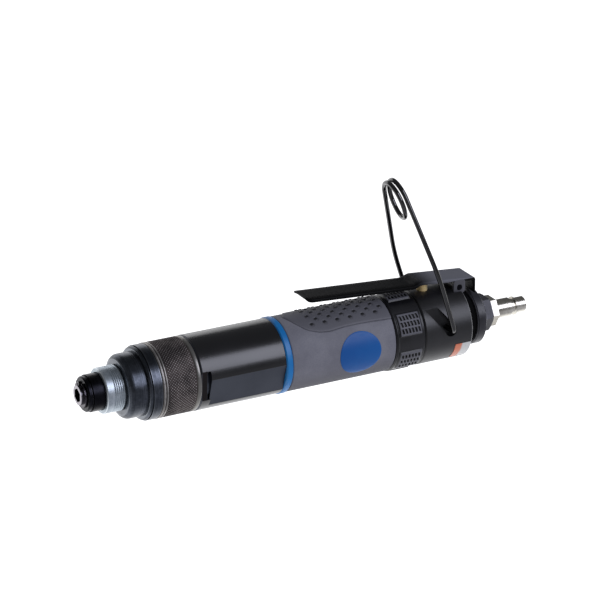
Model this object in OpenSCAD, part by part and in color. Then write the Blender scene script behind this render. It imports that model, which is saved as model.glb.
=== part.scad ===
// In-line pneumatic screwdriver with a lever start and a wire hanging bail.
// Lengths are millimetres. +X runs along the tool from the bit socket to the air plug, and +Z points up
// through the start lever. The origin is the centre of the bit socket's mouth.

/* [Nose] */
// Width across flats of the bit socket
hex_af = 6.35; // [6.35:0.01:6.6]
// Depth of the bit socket
hex_depth = 26; // [20:0.5:30]
// How far the quick-change chuck stands out of the nose sleeve
chuck_out = 11; // [10.5:0.1:13]
// Outside diameter of the chuck sleeve
chuck_d = 18.6; // [18.4:0.1:18.8]
// Travel of the chuck sleeve that frees the bit
chuck_travel = 2.5; // [1.5:0.1:2.5]
// Outside diameter of the threaded nose sleeve
nose_d = 22.8; // [22.6:0.1:24]
// Visible length of the threaded nose sleeve
nose_len = 9.8; // [9.4:0.1:12]
// How far the nose cap's side lies inside the front collar's
cap_step = 2.6; // [2:0.1:3]
// Visible length of the nose cap
cap_len = 9.5; // [9:0.1:12]
// How far the front collar's side lies inside the barrel's
collar_step = 0.3; // [0.2:0.1:1]
// Length of the front collar
collar_len = 6.5; // [6:0.1:8]

/* [Clutch] */
// How far the knurled adjusting ring's side lies inside the barrel's
ring_step = 0.1; // [0.1:0.1:0.5]
// Length of the space that holds the adjusting ring
ring_len = 21; // [20.5:0.1:23]
// Travel of the spring seat from softest to hardest setting
seat_travel = 3; // [1:0.1:3]
// Diameter of the clutch balls
clutch_ball_d = 4; // [3.8:0.1:4.1]
// Number of clutch balls
clutch_balls_n = 6; // [4:1:6]
// Wire diameter of the clutch spring
clutch_wire = 1.6; // [1.4:0.1:1.8]

/* [Barrel and gears] */
// Outside diameter of the barrel
barrel_d = 38; // [38:0.1:39]
// Wall of the barrel, before the flat is milled
barrel_wall = 2.6; // [2.5:0.05:2.6]
// Length of the barrel
barrel_len = 45.8; // [45.8:0.1:50]
// Depth of the milled flat
flat_depth = 1.64; // [1:0.02:1.8]
// Least wall of the ring gear, behind its teeth
ring_gear_wall = 2.18; // [2.18:0.01:2.6]
// Width of a planet gear
planet_w = 7; // [6:0.1:7]

/* [Motor] */
// Thinnest wall of the motor cylinder, under its eccentric bore
cylinder_wall = 1.13; // [1:0.01:1.3]
// How far the cylinder's bore is set off the axis
eccentric = 1.14; // [1:0.01:1.2]
// Thickness of a vane
vane_t = 1.5; // [1.2:0.1:2]
// Number of vanes
vanes_n = 5; // [4:1:6]
// Wall of the motor housing tube
housing_wall = 1.5; // [1.4:0.05:1.6]

/* [Grip] */
// Length of the coloured band ring
band_len = 3.6; // [2:0.1:4]
// How far the coloured band ring stands over the barrel
band_step = 0.4; // [0.2:0.1:0.8]
// Length of the rubber grip
grip_len = 57.9; // [57.9:0.1:66]
// How far the rubber grip stands over the barrel
grip_step = 0.1; // [0:0.1:0.3]
// Height of the raised pad along the grip's top
pad_h = 0.5; // [0.3:0.1:0.6]
// Diameter of the round badge
badge_d = 23.2; // [16:0.1:26]

/* [Reverse ring] */
// Length of the space that holds the reverse ring
reverse_len = 17.1; // [15:0.1:20]
// How far the reverse ring stands over the barrel between its pads
reverse_step = 0.2; // [0:0.1:0.4]
// Height of the finger pads on the reverse ring
reverse_pad_h = 0.9; // [0.5:0.1:1.2]
// Turn from forward to reverse
reverse_deg = 40; // [20:1:40]

/* [Rear housing] */
// Length of the rear housing
rear_len = 27.2; // [27.2:0.1:32]
// How far the rear housing stands over the barrel
rear_step = 0.3; // [0:0.1:0.5]
// How far the exhaust cap's side lies inside the rear housing's
exhaust_step = 4.5; // [4:0.1:5]
// Length of the exhaust cap, with the slit in front of it
exhaust_len = 12.3; // [12:0.1:14]
// Width across flats of the inlet bushing's hexagon
bushing_af = 17; // [17:0.5:20]
// Length of the inlet bushing's hexagon
bushing_len = 6.1; // [6:0.1:9]
// Diameter of the air plug's body
plug_body_d = 9.8; // [9.4:0.1:10]
// Diameter of the air plug's tip
plug_tip_d = 8.1; // [7.7:0.1:8.3]
// Length of the air plug behind the bushing
plug_len = 23.1; // [22:0.1:26]

/* [Lever and bail] */
// Thickness of the lever's sheet
lever_t = 1.7; // [1.5:0.1:1.8]
// Width of the lever
lever_w = 14.8; // [14:0.1:16]
// Reach of the lever in front of its pivot
lever_reach = 87; // [80:0.5:90]
// Travel of the lever, in degrees
lever_deg = 5; // [4:0.1:5]
// Diameter of the lever's pivot pin
pivot_d = 3; // [2.8:0.1:3.2]
// Diameter of the throttle pin
throttle_d = 5.5; // [5:0.1:5.6]
// Wire diameter of the bail
bail_wire = 2.4; // [2.2:0.05:2.5]
// Mean radius of the bail's coil
bail_coil_r = 8.9; // [8.5:0.1:10]
// Height of the coil's centre above the bail's pivot
bail_coil_h = 70.9; // [66:0.1:76]
// Distance between the middles of neighbouring coil turns
bail_pitch = 2.95; // [2.95:0.05:3.4]
// Half the spread of the bail's legs at the pivot
bail_half_w = 22.7; // [22.5:0.1:25]
// How far the bail leans forward as drawn, in degrees
bail_lean = 17.8; // [0:0.1:30]

/* [Hidden] */
$fn = 64;

// Fits and small shared sizes
fit_gap = 0.03;     // radial gap of a piece that is seated in another
run_gap = 0.05;     // radial gap of a piece that turns or slides in another
face_gap = 0.15;    // end gap beside a piece that turns
soft_gap = 0.3;     // gap between parts of different bodies that only come near each other
cut = 1;            // overrun of every cut
edge = 0.6;         // chamfer on a turned edge
quarter_steps = 6;  // segments of a turned quarter round

// Stations along the tool, front to back
x_nose = chuck_out;
x_cap = x_nose + nose_len;
x_collar = x_cap + cap_len;
x_ring = x_collar + collar_len;
x_barrel = x_ring + ring_len;
x_band = x_barrel + barrel_len;
x_grip = x_band + band_len;
x_reverse = x_grip + grip_len;
x_rear = x_reverse + reverse_len;
x_tail = x_rear + rear_len;
x_bushing = x_tail + exhaust_len;
x_plug = x_bushing + bushing_len;
x_end = x_plug + plug_len;

// Radii that several pieces share
barrel_r = barrel_d / 2;
bore_r = barrel_r - barrel_wall;
seated_r = bore_r - fit_gap;
motor_r = seated_r - housing_wall;
clutch_wall = 2.2;
clutch_bore_r = bore_r - run_gap - clutch_wall;

// Spindle and chuck
hex_r = hex_af / sqrt(3);
shank_r = 5.6;
lip_r = 4.9;
clip_groove_r = 4.2;
clip_x = 1.4;
clip_w = 1;
clip_r = 6.6;
clip_lug_r = 0.5;
clip_open_deg = 30;
chuck_r = chuck_d / 2;
chuck_face_x = clip_x + clip_w + face_gap;
chuck_rim_w = 1.9;
chuck_rim_step = 0.5;
chuck_rim_r = chuck_r - chuck_rim_step;
chuck_groove_r = chuck_rim_r - chuck_rim_step;
chuck_groove_w = 0.6;
chuck_lip_r = 5.95;
chuck_lip_w = 1.1;
chuck_recess_r = 6.4;
chuck_recess_w = 4.4;
chuck_land_w = 4;
chuck_spring_r = 8;
bit_ball_r = 1.5;
bit_ball_x = 8;
bit_ball_out = 4.1;
journal_r = 6.9;
journal_in = 8.5;
journal_x = x_nose + journal_in;
bush_in = 2;
chuck_end_gap = 0.5;
chuck_tail = journal_in + bush_in - chuck_travel - chuck_end_gap;
bush_x = journal_x + bush_in;
bush_len = 11;
bush_wall = 1.5;
bush_r = journal_r + run_gap + bush_wall;
nose_tail = 12.2;
nose_tail_step = 0.9;
nose_tail_r = nose_d / 2 - nose_tail_step;
nose_relief = 0.6;
thread_depth = 0.35;
thread_pitch = 1.05;
thread_turns = 5;
chuck_wire = 0.9;
chuck_spring_mean_r = 6.3;
chuck_spring_turns = 4;

// Nose cap and clutch housing
collar_r = barrel_r - collar_step;
cap_r = collar_r - cap_step;
cap_round_full = 3;
cap_round = min(cap_round_full, (cap_r - nose_tail_r) * 0.55);
cap_spigot_len = 4.9;
cap_spigot_wall = 2.8;
cap_spigot_r = nose_tail_r + cap_spigot_wall;
collar_lip_step = 0.4;
collar_lip_r = collar_r - collar_lip_step;
collar_round = 1.3;
collar_groove_w = 0.6;
collar_groove_depth = 0.9;
collar_groove_r = collar_r - collar_groove_depth;
clutch_tail = 9;
slot_w = 5;
slot_front = 9.5;
slots_n = 3;

// Clutch
flange_gap = 0.6;
flange_x = x_collar + cap_spigot_len + flange_gap;
flange_w = 3.3;
flange_play = 1.75;
flange_r = clutch_bore_r - flange_play;
clutch_ball_r = clutch_ball_d / 2;
ball_ring_share = 0.7661;
clutch_ball_ring_r = flange_r * ball_ring_share;
ball_sunk_share = 0.25;
clutch_ball_x = flange_x + flange_w + clutch_ball_r * ball_sunk_share;
cam_gap = 0.7;
cam_x = clutch_ball_x + cam_gap;
cam_w = 3;
hex_shaft_share = 0.4839;
hex_shaft_r = flange_r * hex_shaft_share;
hex_shaft_len = 19;
pilot_r = hex_shaft_r / 2;
pilot_len = 5;
seat_w = 2.5;
seat_in = 4.2;
seat_x = x_ring + slot_front + seat_travel + seat_in;
seat_play = 0.4;
seat_bore_r = hex_shaft_r + seat_play;
washer_w = 1.3;
washer_r = flange_r + soft_gap;
washer_x = seat_x - washer_w - face_gap;
clutch_spring_x = cam_x + cam_w;
clutch_spring_turns = 3;
clutch_spring_in = 3;
clutch_spring_r = flange_r - clutch_spring_in;

// Bearings: outer ring, inner ring and balls
race_t = 1.5;
bearing_ball_r = 1.3;
bearing_balls_n = 9;
small_balls_n = 7;
output_shaft_r = hex_shaft_r;
output_bearing_ring = 5;
output_bearing_r = output_shaft_r + output_bearing_ring;
output_bearing_w = 6;
rotor_shaft_r = 2.8;
rotor_bearing_ring = 5.2;
rotor_bearing_r = rotor_shaft_r + rotor_bearing_ring;
rotor_bearing_w = 3.9;

// Gears: every planet is as large as its sun, so the ring gear has three times the teeth
sun_teeth = 15;
planet_teeth = sun_teeth;
ring_teeth = sun_teeth + 2 * planet_teeth;
planets_n = 3;
pressure_deg = 20;
addendum_share = 0.8;
dedendum_share = 1.15;
backlash_share = 0.2;
gear_m = (seated_r - ring_gear_wall) / (ring_teeth / 2 + dedendum_share);
addendum = addendum_share * gear_m;
dedendum = dedendum_share * gear_m;
backlash = backlash_share * gear_m;
planet_orbit_r = gear_m * (sun_teeth + planet_teeth) / 2;
planet_pin_r = 1.5;
carrier_play = 0.8;
carrier_r = gear_m * ring_teeth / 2 - addendum - carrier_play;
carrier_w = 2.9;
mid_carrier_w = 2.5;
gear_gap = 0.3;

x_plate = x_barrel + clutch_tail + fit_gap;
plate_w = 7.2;
plate_lip_w = 0.5;
plate_lip_step = 2;
plate_lip_r = output_bearing_r - plate_lip_step;
x_gears = x_plate + plate_w;
x_front_planets = x_gears + gear_gap + carrier_w + gear_gap;
x_mid_carrier = x_front_planets + planet_w + gear_gap;
x_rear_planets = x_mid_carrier + mid_carrier_w + gear_gap;
motor_front_gap = 2.8;
x_motor = x_rear_planets + planet_w + motor_front_gap;
pinion_hub_r = rotor_shaft_r * 1.5;

// Motor
end_plate_w = 6;
end_plate_bore_r = 4;
end_plate_web = 1.8;
rotor_end_gap = 0.2;
x_cylinder = x_motor + end_plate_w;
cylinder_bore_r = motor_r - cylinder_wall - eccentric;
rotor_seal = 0.06;
rotor_r = cylinder_bore_r - eccentric - rotor_seal;
port_w = 2;
ports_n = 5;
vane_share = 0.6744;
vane_h = (rotor_r - rotor_shaft_r) * vane_share;
vane_gap = 0.05;
plate_pocket = end_plate_w - end_plate_web;

// Reverse spool, and the motor's length, which fills the space in front of the spool's housing
spool_len = 16;
spool_pin_in = 4;
reverse_pin_x = x_reverse + reverse_len / 2;
spool_x = reverse_pin_x - spool_len + spool_pin_in;
spigot_front = 6.19;
x_spigot = spool_x - spigot_front;
x_rear_plate = x_spigot - fit_gap - end_plate_w;
cylinder_len = x_rear_plate - x_cylinder;
rotor_len = cylinder_len - 2 * rotor_end_gap;

// Grip
grip_r = barrel_r + grip_step;
pad_half_deg = 42;
badge_place_share = 0.65;
badge_x = x_grip + grip_len * badge_place_share;
badge_t = 0.3;
skin = 0.04;

// Reverse ring and spool
reverse_r = barrel_r + reverse_step;
reverse_pads_n = 6;
reverse_pad_deg = 34;
reverse_pad_margin = 2.4;
reverse_lip_w = 1.2;
spool_r = 8;
spool_bore_r = 3.5;
reverse_pin_r = 1.5;
spool_land = 1.2;

// Rear housing
rear_r = barrel_r + rear_step;
throttle_in = 8.1;
throttle_x = x_rear + throttle_in;
throttle_r = throttle_d / 2;
chamber_r = 6.5;
seat_z = -1;
seat_hole_r = 3.4;
guide_z = 9;
passage_r = 3.6;
passage_gap = 5;
passage_z = 3.4;
tail_r = 9.4;
tail_bore_r = 7.4;
tail_depth = 6;
exhaust_holes_n = 8;
exhaust_hole_r = 1.4;
exhaust_hole_ring_r = 11.4;
exhaust_hole_depth = 6;
pivot_in = 1.4;
pivot_over = 0.2;
pivot_x = x_tail - pivot_in;
pivot_z = rear_r + pivot_over;
boss_r = 2.6;
ear_half_l = 3.2;
ear_r = 3.3;
ear_pocket_gap = 0.5;
bail_in = 12.7;
bail_x = x_tail - bail_in;
bail_z = 2.5;
pocket_depth = 5.8;
pocket_floor = rear_r - pocket_depth;
bail_pin_len = 3.5;
bail_pin_in = pocket_floor - bail_pin_len;
pocket_half_w = 3;
pocket_r = 3.2;
pocket_lean = 38;
pocket_len = 24;
label_w = 9;
label_from_deg = 18;
label_deg = 34;
label_t = 0.15;

// Valve
valve_r = 5.2;
valve_t = 1.9;
valve_gap = 0.1;
stem_r = 1.5;
plug_in = 13;
plug_depth = 4.8;
plug_slot_r = 3;
plug_slot_depth = 2.5;
valve_wire = 0.9;
valve_spring_r = 3.8;
valve_spring_turns = 5;

// Lever: the blade, a joggle up to the rear part, two ears and a rear wall
lever_tip_rise = 9.8;
blade_end_in = 26;
blade_end_rise = 5.7;
joggle = 1.6;
joggle_len = 3.4;
lever_tail = 9.4;
lever_tail_rise = 4;
wall_drop = 4.4;
lever_tip_x = pivot_x - lever_reach;
lever_tip_z = pivot_z + lever_tip_rise;
blade_end_x = pivot_x - blade_end_in;
blade_end_z = pivot_z + blade_end_rise;
lever_end_x = pivot_x + lever_tail;
lever_end_z = pivot_z + lever_tail_rise;
wall_bottom_z = pivot_z - wall_drop;
lever_bend = 1.4;
near_corner = 4;
far_corner = 0.6;
ear_in = lever_w / 2 - lever_t;
boss_half_w = ear_in - soft_gap;
lever_slope = (blade_end_z + joggle - lever_end_z) / (lever_end_x - blade_end_x - joggle_len);
lever_under_z = blade_end_z + joggle - lever_t - lever_slope * (throttle_x - blade_end_x - joggle_len);
pin_head_z = lever_under_z - soft_gap;

// Bail: heights are measured along the bail, from its pivot
bail_r = bail_wire / 2;
bail_stretch = 1.14;
bail_twist = 4.4;
bail_bend_h = 32;
bail_bend_half_w = 21.8;
bail_foot_r = 3;
bail_turns = 1.5;
bail_sides = 8;
loop_rings = 24;
bend_rings = 5;
bail_sleeve = 0.02;

// Tail
slit_w = 6;
tail_end_gap = 0.8;
exhaust_r = rear_r - exhaust_step;
exhaust_wall = 1.6;
exhaust_taper = 1.8;
bushing_r = bushing_af / sqrt(3);
exhaust_rear_over = 2.4;
exhaust_rear_r = bushing_r + exhaust_rear_over;
hex_turn = 30;
bushing_chamfer = 0.9;
chamfer_deg = 30;
bushing_bore_r = 6;
bushing_neck_r = tail_bore_r - fit_gap;
bushing_neck = 10;
screen_step_r = 4;
screen_step = 3;
screen_t = 0.8;
screen_hole_r = 0.55;
screen_pitch = 1.9;
seal_t = 0.8;
plug_hex_af = 14;
plug_hex_r = plug_hex_af / sqrt(3);
plug_hex_w = 3.4;
plug_thread_r = bushing_bore_r - fit_gap;
plug_thread_len = 9;
plug_bore_r = 2.6;
plug_groove_r = 4;
plug_body_len = 10.2;
plug_groove_w = 1.4;
plug_collar_w = 1.6;
plug_collar_r = 4.85;
plug_body_r = plug_body_d / 2;
plug_tip_r = plug_tip_d / 2;

// Solid turned about the tool's axis: each point is [radius, station]
module turned(profile) rotate([0, 90, 0]) rotate_extrude() polygon(profile);

// Round bar or tube along the tool from one station to another
module bar(x, length, r) translate([x, 0, 0]) rotate([0, 90, 0]) cylinder(h = length, r = r);
module tube(x, length, r, inner) difference() {
    bar(x, length, r);
    bar(x - cut, length + 2 * cut, inner);
}

// Hexagonal bar along the tool, a corner up unless it is turned
module hex_bar(x, length, corner_r, turn = 0) translate([x, 0, 0]) rotate([turn, 0, 0]) rotate([0, 90, 0])
    cylinder(h = length, r = corner_r, $fn = 6);

// Copies its children n times round the tool's axis
module around(n, start = 0) for (i = [0 : n - 1]) rotate([start + i * 360 / n, 0, 0]) children();

// Part of a tube between two angles about the tool's axis, counted from +Z towards -Y
module sector(x, length, inner, outer, from, span)
    rotate([0, 90, 0]) rotate([0, 0, 180 + from]) rotate_extrude(angle = span)
        translate([inner, x]) square([outer - inner, length]);

// Points of a quarter round on a turned outline, from the face out to the side
function front_round(x, r, q) = [for (i = [0 : quarter_steps])
    let (a = 90 * i / quarter_steps) [r - q + q * sin(a), x + q - q * cos(a)]];

// Unit vector, and a tube swept along a path whose cross-section keeps one side along the given normal
function unit(v) = v / norm(v);
function ring_points(p, t, n, r, sides) =
    let (s = unit(cross(t, n)), m = cross(s, t))
    [for (k = [0 : sides - 1]) p + r * (cos(360 * k / sides) * s + sin(360 * k / sides) * m)];
function path_tangent(path, i) =
    unit(path[min(i + 1, len(path) - 1)] - path[max(i - 1, 0)]);
module swept(path, n, r, sides) {
    count = len(path);
    points = [for (i = [0 : count - 1]) each ring_points(path[i], path_tangent(path, i), n, r, sides)];
    walls = [for (i = [0 : count - 2], k = [0 : sides - 1], half = [0, 1])
        let (a = i * sides + k, b = i * sides + (k + 1) % sides)
        half == 0 ? [a, b, b + sides] : [a, b + sides, a + sides]];
    front = [[for (k = [0 : sides - 1]) sides - 1 - k]];
    back = [[for (k = [0 : sides - 1]) (count - 1) * sides + k]];
    polyhedron(points, concat(front, walls, back));
}

// Helical spring about a line through [x0, y0] of its own frame, standing along +Z
spring_rings = 12;
spring_sides = 6;
function helix(turns, r, length) = [for (i = [0 : turns * spring_rings])
    let (a = 360 * i / spring_rings) [r * cos(a), r * sin(a), length * i / (turns * spring_rings)]];
module coil_spring(turns, r, length, wire) translate([0, 0, wire / 2])
    helix_tube(helix(turns, r, length - wire), wire / 2);
function outward(p) = unit([p[0], p[1], 0]);
module helix_tube(path, r) {
    count = len(path);
    points = [for (i = [0 : count - 1]) each
        let (o = outward(path[i]), s = [0, 0, 1])
        [for (k = [0 : spring_sides - 1]) path[i] + r * (cos(360 * k / spring_sides) * o
            + sin(360 * k / spring_sides) * s)]];
    walls = [for (i = [0 : count - 2], k = [0 : spring_sides - 1], half = [0, 1])
        let (a = i * spring_sides + k, b = i * spring_sides + (k + 1) % spring_sides)
        half == 0 ? [a, b + spring_sides, b] : [a, a + spring_sides, b + spring_sides]];
    front = [[for (k = [0 : spring_sides - 1]) k]];
    back = [[for (k = [0 : spring_sides - 1]) count * spring_sides - 1 - k]];
    polyhedron(points, concat(front, walls, back));
}

// Involute outline of a gear with a tooth on +X. A negative play widens the teeth, as in a cutter.
function involute(a) = tan(a) * 180 / PI - a;
function tooth_half_deg(r, base_r, pitch_half) =
    pitch_half + involute(pressure_deg) - involute(acos(min(1, base_r / max(r, base_r))));
function gear_outline(teeth, root_r, tip_r, play) =
    let (pitch_r = gear_m * teeth / 2, base_r = pitch_r * cos(pressure_deg),
        pitch_half = 90 / teeth - play / pitch_r * 90 / PI,
        low_r = max(root_r, base_r),
        radii = [root_r, low_r + 0.02 * gear_m, (low_r + pitch_r) / 2, pitch_r, (pitch_r + tip_r) / 2, tip_r])
    [for (t = [0 : teeth - 1]) each concat(
        [for (r = radii) let (a = 360 * t / teeth - tooth_half_deg(r, base_r, pitch_half))
            r * [cos(a), sin(a)]],
        [for (i = [len(radii) - 1 : -1 : 0]) let (r = radii[i],
            a = 360 * t / teeth + tooth_half_deg(r, base_r, pitch_half)) r * [cos(a), sin(a)]])];
module gear_bar(x, length, teeth, root_r, tip_r, play) translate([x, 0, 0]) rotate([0, 90, 0])
    linear_extrude(height = length) polygon(gear_outline(teeth, root_r, tip_r, play));
small_pitch_r = gear_m * sun_teeth / 2;
module small_gear(x, length)
    gear_bar(x, length, sun_teeth, small_pitch_r - dedendum, small_pitch_r + addendum, backlash);
module planet(x, i) rotate([i * 360 / planets_n, 0, 0]) translate([0, 0, -planet_orbit_r]) difference() {
    small_gear(x, planet_w);
    bar(x - cut, planet_w + 2 * cut, planet_pin_r + run_gap);
}
module planet_pins(x, length)
    around(planets_n) translate([0, 0, -planet_orbit_r]) bar(x, length, planet_pin_r);

// Ball bearing: a grooved outer ring, and a grooved inner ring with the balls that ride in the groove
module groove(x, pitch_r) translate([x, 0, 0]) rotate([0, 90, 0]) rotate_extrude()
    translate([pitch_r, 0]) circle(r = bearing_ball_r + fit_gap);
module outer_race(x, w, r, shaft_r) color("silver") {
    pitch_r = (r + shaft_r) / 2;
    difference() {
        tube(x, w, r - fit_gap, r - race_t);
        groove(x + w / 2, pitch_r);
    }
}
module inner_race(x, w, r, shaft_r, n) color("silver") {
    pitch_r = (r + shaft_r) / 2;
    difference() {
        tube(x, w, shaft_r + race_t, shaft_r + fit_gap);
        groove(x + w / 2, pitch_r);
    }
    around(n) translate([x + w / 2, 0, pitch_r]) sphere(r = bearing_ball_r);
}

// Rotating spindle with the bit socket, and the flange that the clutch balls drive
module spindle() color("dimgray") difference() {
    union() {
        bar(0, clip_x, lip_r);
        bar(clip_x, clip_w, clip_groove_r);
        bar(clip_x + clip_w, journal_x - clip_x - clip_w, shank_r);
        bar(journal_x, flange_x - journal_x, journal_r);
        bar(flange_x, flange_w, flange_r);
    }
    hex_bar(-cut, hex_depth + cut, hex_r);
    for (side = [-1, 1]) translate([bit_ball_x, 0, 0]) rotate([90 * side, 0, 0])
        cylinder(h = shank_r + cut, r = bit_ball_r + fit_gap);
    bar(flange_x + flange_w - pilot_len, pilot_len + cut, pilot_r + fit_gap);
    ball_seats();
}
module ball_seats() around(clutch_balls_n) translate([clutch_ball_x, 0, clutch_ball_ring_r])
    sphere(r = clutch_ball_r + fit_gap);

// Sliding sleeve of the quick-change chuck: its inner land holds the two balls in the bit's groove
module chuck_sleeve() color("black") {
    rim_x = chuck_face_x + chuck_rim_w;
    body_x = rim_x + chuck_groove_w;
    end_x = x_nose + chuck_tail;
    recess_x = chuck_face_x + chuck_recess_w;
    turned([[chuck_lip_r, chuck_face_x], [chuck_rim_r - edge, chuck_face_x], [chuck_rim_r, chuck_face_x + edge],
        [chuck_rim_r, rim_x], [chuck_groove_r, rim_x], [chuck_groove_r, body_x], [chuck_r, body_x],
        [chuck_r, end_x], [chuck_spring_r, end_x], [chuck_spring_r, recess_x + chuck_land_w],
        [shank_r + run_gap, recess_x + chuck_land_w], [shank_r + run_gap, recess_x], [chuck_recess_r, recess_x],
        [chuck_recess_r, chuck_face_x + chuck_lip_w], [chuck_lip_r, chuck_face_x + chuck_lip_w]]);
}
module chuck_spring() color("gray") {
    start = chuck_face_x + chuck_recess_w + chuck_land_w + fit_gap;
    translate([start, 0, 0]) rotate([0, 90, 0])
        coil_spring(chuck_spring_turns, chuck_spring_mean_r, journal_x - fit_gap - start, chuck_wire);
}

// Open clip in the spindle's front groove, with a hole in each end
module chuck_clip() color("gray") difference() {
    tube(clip_x + fit_gap, clip_w - 2 * fit_gap, clip_r, clip_groove_r + fit_gap);
    sector(0, clip_x + clip_w + cut, clip_groove_r - clip_lug_r, clip_r + cut, -clip_open_deg / 2,
        clip_open_deg);
    for (side = [-1, 1]) rotate([side * clip_open_deg, 0, 0])
        translate([0, 0, (clip_r + clip_groove_r) / 2]) bar(0, clip_x + clip_w + cut, clip_lug_r);
}
module bit_balls() color("silver")
    for (side = [-1, 1]) translate([bit_ball_x, side * bit_ball_out, 0]) sphere(r = bit_ball_r);

// Silver nose sleeve with a fine thread behind its plain front
module nose_sleeve() color("lightsteelblue") {
    nose_r = nose_d / 2;
    relief_x = x_cap - nose_relief;
    thread_x = relief_x - thread_turns * thread_pitch;
    end_x = x_cap + nose_tail;
    turned(concat([[chuck_r + face_gap, x_nose], [nose_r - edge, x_nose], [nose_r, x_nose + edge]],
        [for (i = [0 : thread_turns - 1]) each [[nose_r, thread_x + i * thread_pitch],
            [nose_r - thread_depth, thread_x + (i + 0.35) * thread_pitch],
            [nose_r, thread_x + (i + 0.7) * thread_pitch]]],
        [[nose_r, relief_x], [nose_tail_r, relief_x], [nose_tail_r, end_x],
        [journal_r + soft_gap, end_x], [journal_r + soft_gap, bush_x + bush_len],
        [bush_r + fit_gap, bush_x + bush_len], [bush_r + fit_gap, bush_x - fit_gap],
        [chuck_r + face_gap, bush_x - fit_gap]]));
}
module nose_bush() color("peru") tube(bush_x, bush_len - fit_gap, bush_r, journal_r + run_gap);

// Dark nose cap, screwed on the nose sleeve's tail
module nose_cap() color("#2a2e36") turned(concat(
    [[nose_tail_r + fit_gap, x_cap]], front_round(x_cap, cap_r, cap_round),
    [[cap_r, x_collar - fit_gap], [cap_spigot_r, x_collar - fit_gap], [cap_spigot_r, x_collar + cap_spigot_len],
    [nose_tail_r + fit_gap, x_collar + cap_spigot_len]]));

// Front collar and clutch housing in one piece, with slots for the spring seat's lugs
module clutch_housing() color("#2c3036") difference() {
    groove_x = x_collar + collar_round;
    turned(concat([[cap_spigot_r + fit_gap, x_collar]], front_round(x_collar, collar_lip_r, collar_round),
        [[collar_groove_r, groove_x], [collar_groove_r, groove_x + collar_groove_w],
        [collar_r, groove_x + collar_groove_w], [collar_r, x_ring], [bore_r - run_gap, x_ring],
        [bore_r - run_gap, x_barrel + clutch_tail], [clutch_bore_r, x_barrel + clutch_tail],
        [clutch_bore_r, x_collar + cap_spigot_len + fit_gap],
        [cap_spigot_r + fit_gap, x_collar + cap_spigot_len + fit_gap]]));
    around(slots_n) translate([x_ring + slot_front, -slot_w / 2, clutch_bore_r - cut])
        cube([x_barrel - x_ring - slot_front - edge, slot_w, clutch_wall + 2 * cut]);
}

// Knurled ring that sets the torque
module adjusting_ring() color("#4e4642") {
    ring_r = barrel_r - ring_step;
    front = x_ring + face_gap;
    back = x_barrel - face_gap;
    turned([[bore_r, front], [ring_r - edge, front], [ring_r, front + edge], [ring_r, back - edge],
        [ring_r - edge, back], [bore_r, back]]);
}
module spring_seat() color("silver") {
    tube(seat_x, seat_w, clutch_bore_r - run_gap, seat_bore_r);
    around(slots_n) translate([seat_x, -slot_w / 2 + face_gap, clutch_bore_r - cut])
        cube([seat_w, slot_w - 2 * face_gap, clutch_wall + cut - face_gap]);
}
module thrust_washer() color("silver") tube(washer_x, washer_w, washer_r, seat_bore_r);
module clutch_spring() color("gray") translate([clutch_spring_x + fit_gap, 0, 0]) rotate([0, 90, 0])
    coil_spring(clutch_spring_turns, clutch_spring_r, washer_x - clutch_spring_x - 2 * fit_gap, clutch_wire);

// Cam plate, which slides on the hexagonal shaft and lifts off the balls when the clutch trips
module clutch_cam() color("silver") difference() {
    bar(cam_x, cam_w, flange_r);
    hex_bar(cam_x - cut, cam_w + 2 * cut, hex_shaft_r + 2 * run_gap);
    ball_seats();
}
module clutch_balls() color("silver")
    around(clutch_balls_n) translate([clutch_ball_x, 0, clutch_ball_ring_r]) sphere(r = clutch_ball_r);

// Output shaft with the front planets' carrier
module output_carrier() color("gray") {
    hex_x = flange_x + flange_w + soft_gap;
    disc_x = x_gears + gear_gap;
    bar(hex_x - pilot_len, pilot_len, pilot_r);
    hex_bar(hex_x, hex_shaft_len, hex_shaft_r);
    bar(hex_x + hex_shaft_len, disc_x - hex_x - hex_shaft_len, output_shaft_r);
    bar(disc_x, carrier_w, carrier_r);
    planet_pins(disc_x + carrier_w, planet_w + gear_gap);
}
output_bearing_x = x_plate + plate_w - plate_lip_w - output_bearing_w - fit_gap;
module output_bearing_outer()
    outer_race(output_bearing_x, output_bearing_w, output_bearing_r, output_shaft_r);
module output_bearing_inner()
    inner_race(output_bearing_x, output_bearing_w, output_bearing_r, output_shaft_r, bearing_balls_n);
module bearing_plate() color("gray") difference() {
    bar(x_plate, plate_w, seated_r);
    bar(x_plate - cut, plate_w - plate_lip_w + cut, output_bearing_r);
    bar(x_plate, plate_w + cut, plate_lip_r);
}

// Ring gear for both planet stages
module ring_gear() color("silver") difference() {
    pitch_r = gear_m * ring_teeth / 2;
    bar(x_gears + fit_gap, x_motor - x_gears - 2 * fit_gap, seated_r);
    gear_bar(x_gears - cut, x_motor - x_gears + 2 * cut, ring_teeth, pitch_r - addendum, pitch_r + dedendum,
        -backlash);
}
module planet_front_a() color("gold") planet(x_front_planets, 0);
module planet_front_b() color("gold") planet(x_front_planets, 1);
module planet_front_c() color("gold") planet(x_front_planets, 2);
module planet_rear_a() color("gold") planet(x_rear_planets, 0);
module planet_rear_b() color("gold") planet(x_rear_planets, 1);
module planet_rear_c() color("gold") planet(x_rear_planets, 2);
module middle_carrier() color("gray") {
    small_gear(x_front_planets, planet_w + gear_gap);
    bar(x_mid_carrier, mid_carrier_w, carrier_r);
    planet_pins(x_mid_carrier + mid_carrier_w, planet_w + gear_gap);
}
module sun_pinion() color("gray") difference() {
    union() {
        small_gear(x_rear_planets, planet_w + gear_gap);
        bar(x_rear_planets + planet_w + gear_gap, x_motor - x_rear_planets - planet_w - gear_gap, pinion_hub_r);
    }
    bar(x_rear_planets - cut, x_motor - x_rear_planets + 2 * cut, rotor_shaft_r + fit_gap);
}

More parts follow.
